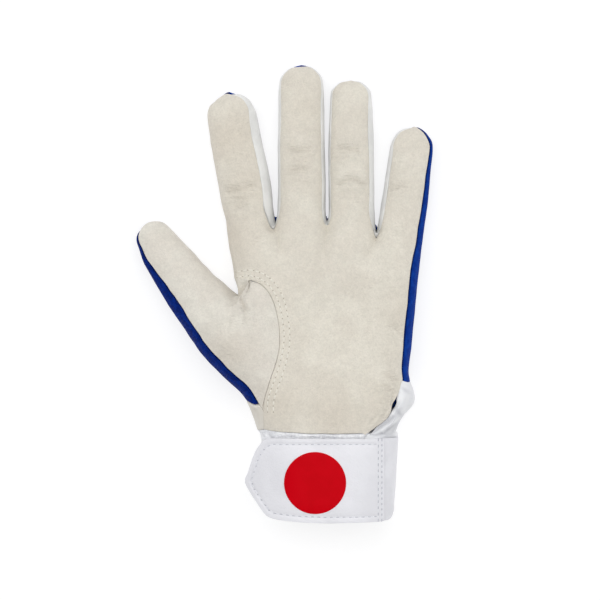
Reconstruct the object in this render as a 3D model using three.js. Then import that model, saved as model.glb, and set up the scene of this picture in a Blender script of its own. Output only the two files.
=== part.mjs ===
// Wicketkeeping inner glove for the left hand, lying on its back with the palm up.
// Millimetres: X runs from the thumb side to the little finger, Y to the fingertips, Z up from
// the surface that the glove rests on. The origin is on that surface, under the middle of the palm.
import * as THREE from 'three';

// Wall thicknesses
const LEATHER = 1.4;
const SIDE_LEATHER = 1.2;
const STRETCH_FABRIC = 1.2;
const COATED_LEATHER = 1.3;
const TOUCH_TAPE = 1.3;

// Gap that is left along every seam. Where a panel ends in a point sharper than SHARP_TIP, the
// point is drawn back along the seam; at any other corner it moves no further than LEAST_MITRE lets it
const SEAM_GAP = 0.4;
const SHARP_TIP = 0.6;
const LEAST_MITRE = 0.4;

// How full the rounded top of a section is: 2 is an ellipse, more is squarer
const FULLNESS = 2.3;
// Width over which the top of the hand falls to its edge
const HAND_ROUNDING = 26;

// Turns of a half section: 0 is the top, 1 the edge, 2 the start of the flat underside, 3 its middle
const UNDER_TURNS = [1.3, 1.6];
const FLAT_TURN = 2.3;
const TIP_TURN = 0.93;
// How fast the side of a digit narrows round its tip: 1 is a plain circle
const TIP_SPREAD = 0.8;
// Place of the middle column of a side, as a share of the way from its front border to the edge
const SIDE_MIDDLE = 0.55;
const FRONT_SHARES = [0, 0.42, 0.75, 1];
const BACK_SHARES = [0.4, 1];
const FINGERTIP_STEPS = 8;
// Across the whole hand: columns of the palm and of the underside, and of one side of the thumb
const PALM_COLUMNS = 24;
const THUMB_COLUMNS = 6;

// A short table becomes rows with named columns
function table(columns, rows) {
  const names = columns.split(' ');
  return rows.map((row) => Object.fromEntries(names.map((name, i) => [name, row[i]])));
}

// Shape of the hand along its length, with the wrist and the cuff at the low end
const HAND = table('y left right top mid corner floor', [
  [60, -52.6, 52.6, 21.0, 9.0, 7.0, 0],
  [43, -51.0, 51.3, 25.5, 11.0, 9.5, 0],
  [27, -48.1, 49.3, 28.5, 12.5, 12.0, 0],
  [18, -50.0, 48.6, 29.3, 13.0, 13.0, 0],
  [2, -72.0, 47.1, 30.6, 14.0, 15.0, 0],
  [-20, -58.5, 44.0, 34.0, 15.5, 17.0, 0],
  [-37, -42.0, 46.6, 36.0, 16.5, 18.0, 0],
  [-46, -38.4, 40.6, 36.5, 17.0, 18.0, 0],
  [-53, -35.6, 38.0, 36.5, 17.0, 18.0, 0],
  [-55.7, -34.0, 37.0, 36.0, 18.0, 17.0, 1.9],
  [-97, -31.0, 34.2, 36.0, 18.0, 17.0, 1.9],
]);

// Soft swellings and hollows of the palm, as a centre, a radius and a height
const SWELLINGS = table('x y radius rise', [
  [-50, -8, 27, 6.0],
  [27, -20, 27, 2.0],
  [0, 4, 25, -3.5],
  [-38, 43, 10, 1.5],
  [-12, 43, 10, 1.5],
  [14, 41, 10, 1.5],
  [37, 36, 10, 1.2],
]);

// Where the fingers part, from the outer side of the index finger to that of the little finger
const FINGER_BASES = table('x y', [
  [-52.6, 56.3],
  [-26.0, 57.2],
  [1.0, 57.7],
  [27.0, 51.4],
  [52.4, 49.0],
]);
const CROTCH_HEIGHTS = [15, 12, 9, 6, 3];
// How much of the valleys between the fingers is left in each row of the palm below them
const VALLEY_FADE = [1, 0.6, 0.25, 0.08, 0];
// Underside of the row where a digit leaves the hand: the share of the way out from its middle,
// and how much of the crotch's height is left there
const BASE_UNDER = table('share lift', [
  [0.8, 0.15],
  [0.45, 0],
]);
const BASE_SWELL = 0.3;

// Fingers: axis, half width and height at each row, from the base to the middle of the fingertip.
// The borders are the turns where the palm leather ends on the thumb side and on the other side.
const FINGERS = [
  { tip: 12.2, borders: [0.72, 0.43], rows: table('x y half top', [
    [-40.0, 61.5, 12.9, 21.3],
    [-41.5, 69.5, 13.8, 21.0],
    [-43.2, 79.0, 13.8, 20.4],
    [-45.0, 89.5, 13.5, 19.6],
    [-47.2, 101.5, 13.2, 18.6],
    [-49.4, 113.6, 12.9, 17.5],
  ]) },
  { tip: 13.0, borders: [0.7, 0.63], rows: table('x y half top', [
    [-12.4, 62.5, 12.8, 21.3],
    [-12.4, 71.5, 12.7, 21.0],
    [-12.5, 83.5, 12.6, 20.4],
    [-12.6, 96.5, 12.5, 19.6],
    [-12.6, 112.0, 12.2, 18.6],
    [-12.6, 127.7, 11.9, 17.5],
  ]) },
  { tip: 12.5, borders: [0.74, 0.53], rows: table('x y half top', [
    [14.3, 60.5, 12.2, 21.0],
    [14.2, 69.5, 12.3, 20.7],
    [14.0, 80.5, 12.2, 20.0],
    [13.9, 92.5, 12.0, 19.2],
    [13.8, 106.5, 11.6, 18.3],
    [13.8, 120.5, 11.1, 17.2],
  ]) },
  { tip: 12.2, borders: [0.62, 0.6], rows: table('x y half top rightBorder', [
    [40.4, 55.0, 12.3, 20.0, 0.47],
    [41.6, 63.0, 12.2, 19.6, 0.5],
    [42.9, 72.0, 12.0, 19.0, 0.53],
    [44.0, 80.5, 11.8, 18.3, 0.55],
    [45.1, 88.5, 11.5, 17.5, 0.57],
    [46.1, 96.1, 11.4, 16.8, 0.59],
  ]) },
];
const THUMB_BASE = {
  spine: { x: -59.1, y: 7.1 },
  edge: { x: -72.1, y: -3.5 },
  top: 33.6,
  mid: 12,
  corner: 10,
  border: 0.43,
};
const THUMB_CROTCH = { x: -46.2, y: 18.0 };
const THUMB_CROTCH_HEIGHTS = [18.5, 15.5, 12, 8, 4.5];
// How far each lower point of the crotch lies under the web
const CROTCH_UNDERCUT = 0.5;
const FINGER_MID = 9;
const FINGER_CORNER = 6.5;

// Thumb, from just above its crotch with the palm to the middle of its tip
const THUMB = {
  tip: 11,
  borders: [0.65, 0.8],
  rows: table('x y half top mid corner leftBorder', [
    [-62.5, 11.4, 16.0, 31.8, 11.6, 9.5, 0.44],
    [-67.0, 17.0, 15.4, 29.2, 11.0, 9.0, 0.43],
    [-73.5, 24.7, 14.4, 25.0, 10.0, 8.0, 0.43],
    [-81.7, 35.5, 12.8, 21.0, 9.5, 7.0, 0.47],
    [-89.4, 47.0, 10.2, 18.0, 9.0, 6.0, 0.62],
  ]),
};

// Rows of the palm between the fingers and the web of the thumb: ends at the thumb side
const UPPER_ROWS = table('x y rightY', [
  [-51.6, 47.8, 42.0],
  [-50.2, 41.0, 35.8],
  [-48.8, 34.0, 29.5],
  [-48.1, 27.0, 23.0],
]);

// Curved seam of the thumb panel in the palm, the outer edge of the thumb and wrist beside it,
// where the same row ends at the little-finger side, how far the row bends round the web, and
// the width of the blue band at its outer end
const SEAM_ROWS = table('x y edgeX edgeY rightY bend band', [
  [-39.4, 26.2, -67.4, -10.4, 23.0, 4.1, 5.7],
  [-33.4, 23.8, -64.6, -13.8, 16.0, 2.2, 5.7],
  [-28.5, 18.0, -61.7, -17.2, 9.0, 0.8, 5.7],
  [-25.3, 9.1, -58.5, -20.3, 2.0, 0, 5.7],
  [-23.8, -1.4, -55.1, -23.3, -5.0, 0, 5.7],
  [-24.5, -11.4, -51.5, -26.4, -11.5, 0, 5.7],
  [-27.4, -21.9, -47.8, -29.6, -17.0, 0, 5.8],
  [-30.4, -30.6, -44.5, -33.2, -22.2, 0, 5.9],
  [-32.6, -38.6, -41.4, -37.0, -27.2, 0, 6.2],
]);
// The same seam beside the wrist, with the end of the palm leather along the slit
const WRIST_ROWS = table('x y edgeX edgeY slitX slitY flapX flapY', [
  [-32.5, -42.4, -40.2, -40.9, 38.6, -32.0, 46.6, -33.4],
  [-32.4, -45.6, -38.6, -45.0, 35.8, -38.5, 45.8, -39.6],
  [-32.4, -48.9, -37.3, -49.0, 30.0, -47.0, 40.9, -45.8],
  [-32.4, -52.2, -35.8, -52.8, 21.8, -53.2, 38.2, -52.4],
]);
const PALM_HEM_BOW = 1.0;
const CUFF_ROWS = table('y slitX', [
  [-55.7, 19.0],
  [-70, 16.0],
  [-83, 14.5],
  [-96, 13.5],
]);
const CUFF_FRONT_INSET = 3.6;

// Border of the blue back on the little-finger side of the palm
const RIGHT_BORDER = table('y x', [
  [49.0, 48.6],
  [34.0, 45.3],
  [18.0, 43.6],
  [2.0, 41.9],
  [-14.0, 40.3],
  [-21.0, 40.0],
  [-27.2, 40.7],
]);

// Web between the thumb and the index finger
const WEB_FOLD = { x: -41.7, y: 19.1, z: 21.0 };
// How sharply the skin dips to the web and to the seams beside it
const WEB_DIP = 6;
const SEAM_DIPS = [5, 4, 3];
const PLAIN_DIP = 2;
const MOST_UNDER_DIP = 3;
const WEB_BAND = 5.7;
// Where along a row its bend round the web is greatest, and how sharply it falls off again
const BEND_PEAK = 0.75;
const LEFT_BORDER_INSET = 3.0;
const INDEX_BORDER_INSET = 1.4;
const BACK_SEAM_END = { x: -21.0, y: -52.5 };

// Wrist strap seen from above, from the tip of its tab to its sewn end: its upper and lower edge
const STRAP_SHAPE = table('x top bottom', [
  [-42.1, -77.7, -79.9],
  [-40.4, -73.8, -83.4],
  [-37.8, -65.8, -87.4],
  [-35.4, -61.3, -91.0],
  [-33.2, -58.3, -94.0],
  [-31.0, -56.9, -96.6],
  [-27.6, -56.2, -98.1],
  [-22.0, -56.2, -98.9],
  [-15.0, -56.2, -99.5],
  [-8.0, -56.2, -99.9],
  [-1.0, -56.2, -100.1],
  [6.0, -56.2, -100.1],
  [13.0, -56.2, -99.9],
  [19.0, -56.2, -99.8],
  [25.0, -56.2, -99.7],
  [30.8, -56.2, -99.5],
]);
// Past leavesAt the strap stands off the cuff
const STRAP = { lift: 2.0, leavesAt: -24, flare: 1.15, rows: 5 };

// Root of the strap: its rows, and its turns round the cuff from the front end to the under end
const ROOT = { lift: 0.35, frontEnd: 24, underEnd: -12, levelY: -70 };
const ROOT_ROWS = [-99.2, -88, -77, -66, -56.3];
const ROOT_TURNS = [0.45, 0.6, 0.75, 0.88, 1, 1.25, 1.5, 1.75, 2, 2.3, 2.6];

const PAD = { left: -27, right: 15, top: -62, bottom: -93, lift: 0.35, columns: 8, rows: 3 };
const BADGE = { x: -5.4, y: -79.1, radius: 16.1, thickness: 0.5, lift: 0.3, sides: 32, rings: [1, 0.55] };

const degrees = Math.PI / 180;
const clamp = (value) => Math.min(1, Math.max(0, value));
const mix = (a, b, share) => a + (b - a) * share;
const between = (a, b, share) => ({ x: mix(a.x, b.x, share), y: mix(a.y, b.y, share) });
const evenly = (from, to, steps) => Array.from({ length: steps + 1 }, (_, i) => mix(from, to, i / steps));

// Share of the full height at a share of the way in from the edge
const fullHeight = (share) => (1 - (1 - clamp(share)) ** FULLNESS) ** (1 / FULLNESS);

// A column of a table read at any y, with straight lines between its rows
function read(rows, column, y) {
  const next = rows.findIndex((row) => row.y <= y);
  if (next === 0) return rows[0][column];
  if (next < 0) return rows[rows.length - 1][column];
  const above = rows[next - 1];
  const below = rows[next];
  return mix(above[column], below[column], (above.y - y) / (above.y - below.y));
}

// How far the palm side rises over the mid level of the hand, away from its edges
function crestRise(x, y) {
  let crest = read(HAND, 'top', y) - read(HAND, 'mid', y);
  for (const swelling of SWELLINGS) {
    const away = Math.hypot(x - swelling.x, y - swelling.y) / swelling.radius;
    crest += swelling.rise * Math.exp(-away * away);
  }
  return crest;
}

// Height of the palm side of the hand and the cuff over a place on the surface
function palmHeight(x, y, grow = 0) {
  const left = read(HAND, 'left', y) - grow;
  const right = read(HAND, 'right', y) + grow;
  const width = HAND_ROUNDING + grow;
  const fall = fullHeight((x - left) / width) * fullHeight((right - x) / width);
  return read(HAND, 'mid', y) + (crestRise(x, y) + grow) * fall;
}

// Height of the underside at a distance in from the edge
function underHeight(distance, mid, corner, floor = 0) {
  const out = clamp((corner - distance) / corner);
  return floor + (mid - floor) * (1 - Math.sqrt(1 - out * out));
}

// The skin of the glove: points that neighbouring panels share, and the faces of each panel
const points = [];
const panels = new Map();

function addPoint(x, y, z) {
  points.push(new THREE.Vector3(x, y, z));
  return points.length - 1;
}

function addFace(panel, a, b, c) {
  if (a === b || b === c || c === a) return;
  if (!panels.has(panel)) panels.set(panel, []);
  panels.get(panel).push([a, b, c]);
}

// Faces between two rows of points that run the same way, seen from outside
function addStrip(panel, first, second) {
  for (let i = 0; i + 1 < first.length; i += 1) {
    addFace(panel, first[i], second[i], second[i + 1]);
    addFace(panel, first[i], second[i + 1], first[i + 1]);
  }
}

// A point of a half section from its spine to its edge and back below, by its turn
function sectionPoint(section, turn) {
  const { spine, edge, top, mid, corner } = section;
  const half = Math.hypot(edge.x - spine.x, edge.y - spine.y);
  let share = 1;
  let z = mid;
  if (turn <= 1) {
    share = Math.sin(turn * 90 * degrees) ** (2 / FULLNESS);
    z = mid + (top - mid) * fullHeight(1 - share);
  } else if (turn <= 2) {
    const angle = (turn - 1) * 90 * degrees;
    share = 1 - (corner / half) * (1 - Math.cos(angle));
    z = mid * (1 - Math.sin(angle));
  } else {
    share = (1 - corner / half) * (3 - turn);
    z = 0;
  }
  const place = between(spine, edge, share);
  return addPoint(place.x, place.y, z);
}

// A half section as front, side and back rows; the side narrows to a point at the fingertip
function halfSection(section, border, spread, spineTop, spineBack) {
  const narrow = (turn) => TIP_TURN + (turn - TIP_TURN) * spread;
  const frontEnd = narrow(border);
  let side;
  if (spread === 0) {
    side = Array(5).fill(sectionPoint(section, TIP_TURN));
  } else {
    const turns = [border, (border + 1) / 2, 1, ...UNDER_TURNS];
    side = turns.map((turn) => sectionPoint(section, narrow(turn)));
  }
  const inner = FRONT_SHARES.slice(1, -1).map((share) => sectionPoint(section, share * frontEnd));
  const front = [spineTop, ...inner, side[0]];
  const under = BACK_SHARES.map((share) => mix(narrow(UNDER_TURNS[1]), FLAT_TURN, share));
  const back = [side[4], ...under.map((turn) => sectionPoint(section, turn)), spineBack];
  return { front, side, back };
}

// All half sections of a finger or thumb, from its base up one side, round the tip and down
function sweepDigit(digit) {
  const rows = digit.rows.map((row) => ({ mid: FINGER_MID, corner: FINGER_CORNER, ...row }));
  const last = rows.length - 1;
  const left = [];
  const right = [];
  rows.forEach((row, i) => {
    const from = rows[Math.max(i - 1, 0)];
    const to = rows[Math.min(i + 1, last)];
    const along = new THREE.Vector2(to.x - from.x, to.y - from.y).normalize();
    const across = new THREE.Vector2(along.y, -along.x);
    const spineTop = addPoint(row.x, row.y, row.top);
    const spineBack = addPoint(row.x, row.y, 0);
    const half = (side, border) => {
      const edge = { x: row.x + across.x * row.half * side, y: row.y + across.y * row.half * side };
      return halfSection({ ...row, spine: row, edge }, border, 1, spineTop, spineBack);
    };
    left.push(half(-1, row.leftBorder ?? digit.borders[0]));
    right.push(half(1, row.rightBorder ?? digit.borders[1]));
    if (i < last) return;
    for (let step = 1; step < FINGERTIP_STEPS; step += 1) {
      const angle = (step / FINGERTIP_STEPS) * 180 * degrees;
      const sideways = -Math.cos(angle) * row.half;
      const forward = Math.sin(angle) * digit.tip;
      const edge = {
        x: row.x + across.x * sideways + along.x * forward,
        y: row.y + across.y * sideways + along.y * forward,
      };
      const border = digit.borders[step * 2 < FINGERTIP_STEPS ? 0 : 1];
      const spread = Math.abs(Math.cos(angle)) ** TIP_SPREAD;
      const open = step * 2 === FINGERTIP_STEPS ? 0 : spread;
      left.push(halfSection({ ...row, spine: row, edge }, border, open, spineTop, spineBack));
    }
  });
  return { left, right: right.reverse(), tipIndex: last + FINGERTIP_STEPS / 2 };
}

// Half of the row where a digit leaves the hand, on a side that it shares with its neighbour
function baseHalf(spine, top, side, spineTop, spineBack) {
  const edge = points[side[0]];
  const inner = FRONT_SHARES.slice(1, -1).map((share) => {
    const place = between(spine, edge, share);
    return addPoint(place.x, place.y, edge.z + (top - edge.z) * fullHeight(1 - share));
  });
  const lowest = points[side[4]];
  const back = [side[4]];
  for (const { share, lift } of BASE_UNDER) {
    const place = between(spine, lowest, share);
    back.push(addPoint(place.x, place.y, lowest.z * lift));
  }
  back.push(spineBack);
  return { front: [spineTop, ...inner, side[0]], side, back };
}

// Faces of a whole digit down to the row where it leaves the hand, and that row
function coverDigit(digit, spine, top, leftSide, rightSide, owners) {
  const sweep = sweepDigit(digit);
  const spineTop = addPoint(spine.x, spine.y, top);
  const spineBack = addPoint(spine.x, spine.y, 0);
  const leftBase = baseHalf(spine, top, leftSide, spineTop, spineBack);
  const rightBase = baseHalf(spine, top, rightSide, spineTop, spineBack);
  const halves = [leftBase, ...sweep.left, ...sweep.right, rightBase];
  for (let i = 0; i + 1 < halves.length; i += 1) {
    const side = i <= sweep.tipIndex ? owners.left : owners.right;
    addStrip(owners.front, halves[i].front, halves[i + 1].front);
    addStrip(side, halves[i].side, halves[i + 1].side);
    addStrip(owners.back, halves[i].back, halves[i + 1].back);
  }
  return {
    front: [...[...leftBase.front].reverse(), ...rightBase.front.slice(1)],
    under: [...rightBase.back, ...[...leftBase.back].reverse().slice(1)],
  };
}

// Side of the hand, from a point of its front over the edge to the underside
function handSide(front, edge, rowY, inward) {
  const mid = read(HAND, 'mid', rowY);
  const corner = read(HAND, 'corner', rowY);
  const floor = read(HAND, 'floor', rowY);
  const halfway = between(points[front], edge, SIDE_MIDDLE);
  const side = [front, addPoint(halfway.x, halfway.y, palmHeight(halfway.x, halfway.y))];
  side.push(addPoint(edge.x, edge.y, mid));
  for (const turn of UNDER_TURNS) {
    const angle = (turn - 1) * 90 * degrees;
    const inset = corner * (1 - Math.cos(angle)) * inward;
    side.push(addPoint(edge.x + inset, edge.y, floor + (mid - floor) * (1 - Math.sin(angle))));
  }
  return side;
}

// A row across the front of the hand, with the valleys below the fingers fading out of it
function frontRow(first, last, from, bow = 0, valleys = null, fade = 0) {
  const row = [first];
  const start = points[first];
  const end = points[last];
  for (let i = from + 1; i < PALM_COLUMNS; i += 1) {
    const share = (i - from) / (PALM_COLUMNS - from);
    const place = between(start, end, share);
    place.y -= bow * Math.sin(share * 180 * degrees);
    const valley = valleys ? valleys[i] * fade : 0;
    row.push(addPoint(place.x, place.y, palmHeight(place.x, place.y) + valley));
  }
  row.push(last);
  return row;
}

// Height of the underside of the hand and the cuff over a place on the surface
function handUnderside(x, y) {
  const distance = Math.min(read(HAND, 'right', y) - x, x - read(HAND, 'left', y));
  return underHeight(distance, read(HAND, 'mid', y), read(HAND, 'corner', y), read(HAND, 'floor', y));
}

// A row across the underside of the hand, from the little-finger side to the other
function underRow(first, last, valleys = null, fade = 0) {
  const row = [first];
  for (let i = 1; i < PALM_COLUMNS; i += 1) {
    const { x, y } = between(points[first], points[last], i / PALM_COLUMNS);
    const valley = valleys ? valleys[i] * fade : 0;
    row.push(addPoint(x, y, Math.max(handUnderside(x, y), valley)));
  }
  row.push(last);
  return row;
}

const frontPoint = (x, y) => addPoint(x, y, palmHeight(x, y));

// Fingers
const sideOwners = ['palm_panel', 'fourchette_index_middle', 'fourchette_middle_ring',
  'fourchette_ring_little', 'back_panel'];
const crotchSides = FINGER_BASES.map((base, i) => {
  if (i > 0 && i < 4) return CROTCH_HEIGHTS.map((z) => addPoint(base.x, base.y, z));
  const inward = i === 0 ? 1 : -1;
  const borderX = i === 0 ? base.x + INDEX_BORDER_INSET : read(RIGHT_BORDER, 'x', base.y);
  return handSide(frontPoint(borderX, base.y), base, base.y, inward);
});
const crotchFront = [];
const crotchUnder = [];
FINGERS.forEach((finger, i) => {
  const spine = between(FINGER_BASES[i], FINGER_BASES[i + 1], 0.5);
  const top = finger.rows[0].top + BASE_SWELL;
  const base = coverDigit(finger, spine, top, crotchSides[i], crotchSides[i + 1], {
    front: 'palm_panel',
    left: sideOwners[i],
    right: sideOwners[i + 1],
    back: 'back_panel',
  });
  crotchFront.push(...base.front.slice(i === 0 ? 0 : 1));
  crotchUnder.unshift(...base.under.slice(0, i === 0 ? undefined : -1));
});

const frontValleys = crotchFront.map((index) => {
  const { x, y, z } = points[index];
  return z - palmHeight(x, y);
});
const underValleys = crotchUnder.map((index) => points[index].z);

// Palm and back between the fingers and the web of the thumb
let above = { front: crotchFront, left: crotchSides[0], right: crotchSides[4], under: crotchUnder };
const webFold = addPoint(WEB_FOLD.x, WEB_FOLD.y, WEB_FOLD.z);
const seamPoints = SEAM_ROWS.map((row) => frontPoint(row.x, row.y));

function rightEnd(y) {
  const front = frontPoint(read(RIGHT_BORDER, 'x', y), y);
  return handSide(front, { x: read(HAND, 'right', y), y }, y, -1);
}

UPPER_ROWS.forEach((row, i) => {
  const fade = VALLEY_FADE[i + 1];
  const left = handSide(frontPoint(row.x + LEFT_BORDER_INSET, row.y), row, row.y, 1);
  const right = rightEnd(row.rightY);
  let front;
  if (i < UPPER_ROWS.length - 1) {
    front = frontRow(left[0], right[0], 0, 0, frontValleys, fade);
  } else {
    front = [left[0], ...frontRow(seamPoints[0], right[0], 1)];
  }
  const under = underRow(right[4], left[4], underValleys, fade);
  addStrip('palm_panel', [...above.left].reverse(), [...left].reverse());
  addStrip('palm_panel', above.front, front);
  addStrip('back_panel', above.right, right);
  addStrip('back_panel', above.under, under);
  above = { front, left, right, under };
});
const webRow = above;
above = { ...above, front: above.front.slice(1) };

// Thumb down to its crotch
const thumbOuter = [THUMB_BASE.border, (THUMB_BASE.border + 1) / 2, 1, ...UNDER_TURNS]
  .map((turn) => sectionPoint(THUMB_BASE, turn));
const thumbInner = THUMB_CROTCH_HEIGHTS
  .map((z, i) => addPoint(THUMB_CROTCH.x + i * CROTCH_UNDERCUT, THUMB_CROTCH.y, z));
const thumbBase = coverDigit(THUMB, THUMB_BASE.spine, THUMB_BASE.top, thumbOuter, thumbInner, {
  front: 'thumb_panel',
  left: 'thumb_back',
  right: 'thumb_panel',
  back: 'thumb_back',
});

// Gusset in the web, from the side of the palm round to the side of the thumb
const middlePoint = (a, b) => {
  const place = points[a].clone().lerp(points[b], 0.5);
  return addPoint(place.x, place.y, place.z);
};
const gussetMiddle = webRow.left.map((index, i) => middlePoint(index, thumbInner[i]));
addStrip('thumb_gusset', [...webRow.left].reverse(), [...gussetMiddle].reverse());
addStrip('thumb_gusset', [...gussetMiddle].reverse(), [...thumbInner].reverse());
addFace('thumb_gusset', webRow.left[0], gussetMiddle[0], webFold);
addFace('thumb_gusset', webRow.left[0], webFold, seamPoints[0]);
addFace('thumb_gusset', gussetMiddle[0], thumbInner[0], webFold);

// Rows of the thumb side from the crotch to the wrist, between the seams of the back and the palm
const backSeam = [webRow.left[4]];
const backSeamRows = SEAM_ROWS.length + WRIST_ROWS.length - 1;
for (let i = 1; i <= backSeamRows; i += 1) {
  const place = between(points[webRow.left[4]], BACK_SEAM_END, i / backSeamRows);
  backSeam.push(addPoint(place.x, place.y, handUnderside(place.x, place.y)));
}

// Share of a row's greatest bend at a share of its length
const bendShare = (share) => (share ** 3 * (1 - share)) / (BEND_PEAK ** 3 * (1 - BEND_PEAK));

function thumbSideRow(edge, frontEnd, backEnd, band, dip = PLAIN_DIP, bend = 0) {
  const mid = read(HAND, 'mid', edge.y);
  const corner = read(HAND, 'corner', edge.y);
  const end = points[frontEnd];
  const length = Math.hypot(end.x - edge.x, end.y - edge.y);
  const openHeight = (share) => {
    const place = between(edge, end, share);
    const fall = fullHeight((share * length) / HAND_ROUNDING);
    return mid + crestRise(place.x, place.y) * fall;
  };
  const heightAt = (share) => openHeight(share) + (end.z - openHeight(1)) * share ** dip;
  const front = [];
  const border = band ? band / length : 1;
  if (band) {
    for (let i = 0; i < THUMB_COLUMNS; i += 1) {
      const share = mix(border, 1, i / THUMB_COLUMNS);
      const place = between(edge, end, share);
      const sideways = (bend * bendShare(share)) / length;
      const x = place.x + (end.y - edge.y) * sideways;
      const y = place.y - (end.x - edge.x) * sideways;
      front.push(addPoint(x, y, heightAt(share)));
    }
  }
  front.push(frontEnd);
  const middle = border * (1 - SIDE_MIDDLE);
  const halfway = between(edge, end, middle);
  const side = [front[0], addPoint(halfway.x, halfway.y, heightAt(middle))];
  side.push(addPoint(edge.x, edge.y, mid));
  const back = points[backEnd];
  const backLength = Math.hypot(back.x - edge.x, back.y - edge.y);
  for (const turn of UNDER_TURNS) {
    const angle = (turn - 1) * 90 * degrees;
    const place = between(edge, back, (corner * (1 - Math.cos(angle))) / backLength);
    side.push(addPoint(place.x, place.y, mid * (1 - Math.sin(angle))));
  }
  const under = [side[4]];
  const start = points[side[4]];
  for (let i = 1; i < THUMB_COLUMNS; i += 1) {
    const share = i / THUMB_COLUMNS;
    const place = between(start, back, share);
    const distance = Math.hypot(place.x - edge.x, place.y - edge.y);
    const dipShare = share ** Math.min(dip, MOST_UNDER_DIP);
    under.push(addPoint(place.x, place.y, mix(underHeight(distance, mid, corner), back.z, dipShare)));
  }
  under.push(backEnd);
  return { front, side, under: under.reverse() };
}

let thumbAbove = { ...thumbBase, side: thumbOuter };

function coverThumbSide(row, owner) {
  if (row.front.length > 1 || thumbAbove.front.length > 1) {
    const lower = row.front.length > 1 ? row.front : thumbAbove.front.map(() => row.front[0]);
    addStrip('thumb_panel', thumbAbove.front, lower);
  }
  addStrip(owner, [...thumbAbove.side].reverse(), [...row.side].reverse());
  addStrip(owner, thumbAbove.under, row.under);
  thumbAbove = row;
}

const foldEdge = between(THUMB_BASE.edge, { x: SEAM_ROWS[0].edgeX, y: SEAM_ROWS[0].edgeY }, 0.5);
coverThumbSide(thumbSideRow(foldEdge, webFold, gussetMiddle[4], WEB_BAND, WEB_DIP), 'thumb_back');
SEAM_ROWS.forEach((row, i) => {
  const edge = { x: row.edgeX, y: row.edgeY };
  const sideRow = thumbSideRow(edge, seamPoints[i], backSeam[i], row.band, SEAM_DIPS[i], row.bend);
  coverThumbSide(sideRow, 'thumb_back');
});

// Palm and back beside the thumb seam
function coverHand(row, rightOwner) {
  addStrip('palm_panel', above.front, row.front);
  addStrip(rightOwner, above.right, row.right);
  addStrip('back_panel', above.under, row.under);
  above = row;
}

SEAM_ROWS.slice(1).forEach((row, i) => {
  const right = rightEnd(row.rightY);
  const front = frontRow(seamPoints[i + 1], right[0], 1);
  const under = underRow(right[4], backSeam[i + 1]);
  coverHand({ front, right, under }, 'back_panel');
});

// Wrist, where the palm leather ends along the slit and the flap covers the side
WRIST_ROWS.forEach((row, i) => {
  const seam = frontPoint(row.x, row.y);
  const backEnd = backSeam[SEAM_ROWS.length + i];
  coverThumbSide(thumbSideRow({ x: row.edgeX, y: row.edgeY }, seam, backEnd, 0), 'wrist_side');
  const slit = frontPoint(row.slitX, row.slitY);
  const right = handSide(slit, { x: row.flapX, y: row.flapY }, row.flapY, -1);
  const bow = i === WRIST_ROWS.length - 1 ? PALM_HEM_BOW : 0;
  const front = frontRow(seam, slit, 1, bow);
  const under = underRow(right[4], backEnd);
  coverHand({ front, right, under }, 'slit_flap');
});

// Cuff and flap from the palm's hem to the bottom edge
CUFF_ROWS.forEach((row) => {
  const leftX = read(HAND, 'left', row.y);
  const rightX = read(HAND, 'right', row.y);
  const leftFront = frontPoint(leftX + CUFF_FRONT_INSET, row.y);
  const left = handSide(leftFront, { x: leftX, y: row.y }, row.y, 1);
  const right = handSide(frontPoint(row.slitX, row.y), { x: rightX, y: row.y }, row.y, -1);
  const front = frontRow(leftFront, right[0], 1);
  const seam = addPoint(BACK_SEAM_END.x, row.y, handUnderside(BACK_SEAM_END.x, row.y));
  const under = underRow(right[4], seam);
  const underLeft = [seam];
  for (let i = 1; i < THUMB_COLUMNS; i += 1) {
    const place = between(points[seam], points[left[4]], i / THUMB_COLUMNS);
    underLeft.push(addPoint(place.x, place.y, handUnderside(place.x, place.y)));
  }
  underLeft.push(left[4]);
  addStrip('cuff', thumbAbove.under, underLeft);
  addStrip('cuff', [...thumbAbove.side].reverse(), [...left].reverse());
  addStrip('cuff', above.front, front);
  addStrip('slit_flap', above.right, right);
  addStrip('cuff', above.under, under);
  above = { front, right, under };
  thumbAbove = { side: left, under: underLeft };
});

// Outward direction at every point of the skin
function skinNormals() {
  const normals = points.map(() => new THREE.Vector3());
  for (const faces of panels.values()) {
    for (const face of faces) {
      const [a, b, c] = face.map((index) => points[index]);
      const normal = b.clone().sub(a).cross(c.clone().sub(a));
      for (const index of face) normals[index].add(normal);
    }
  }
  return normals.map((normal) => normal.normalize());
}
const normals = skinNormals();

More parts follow.
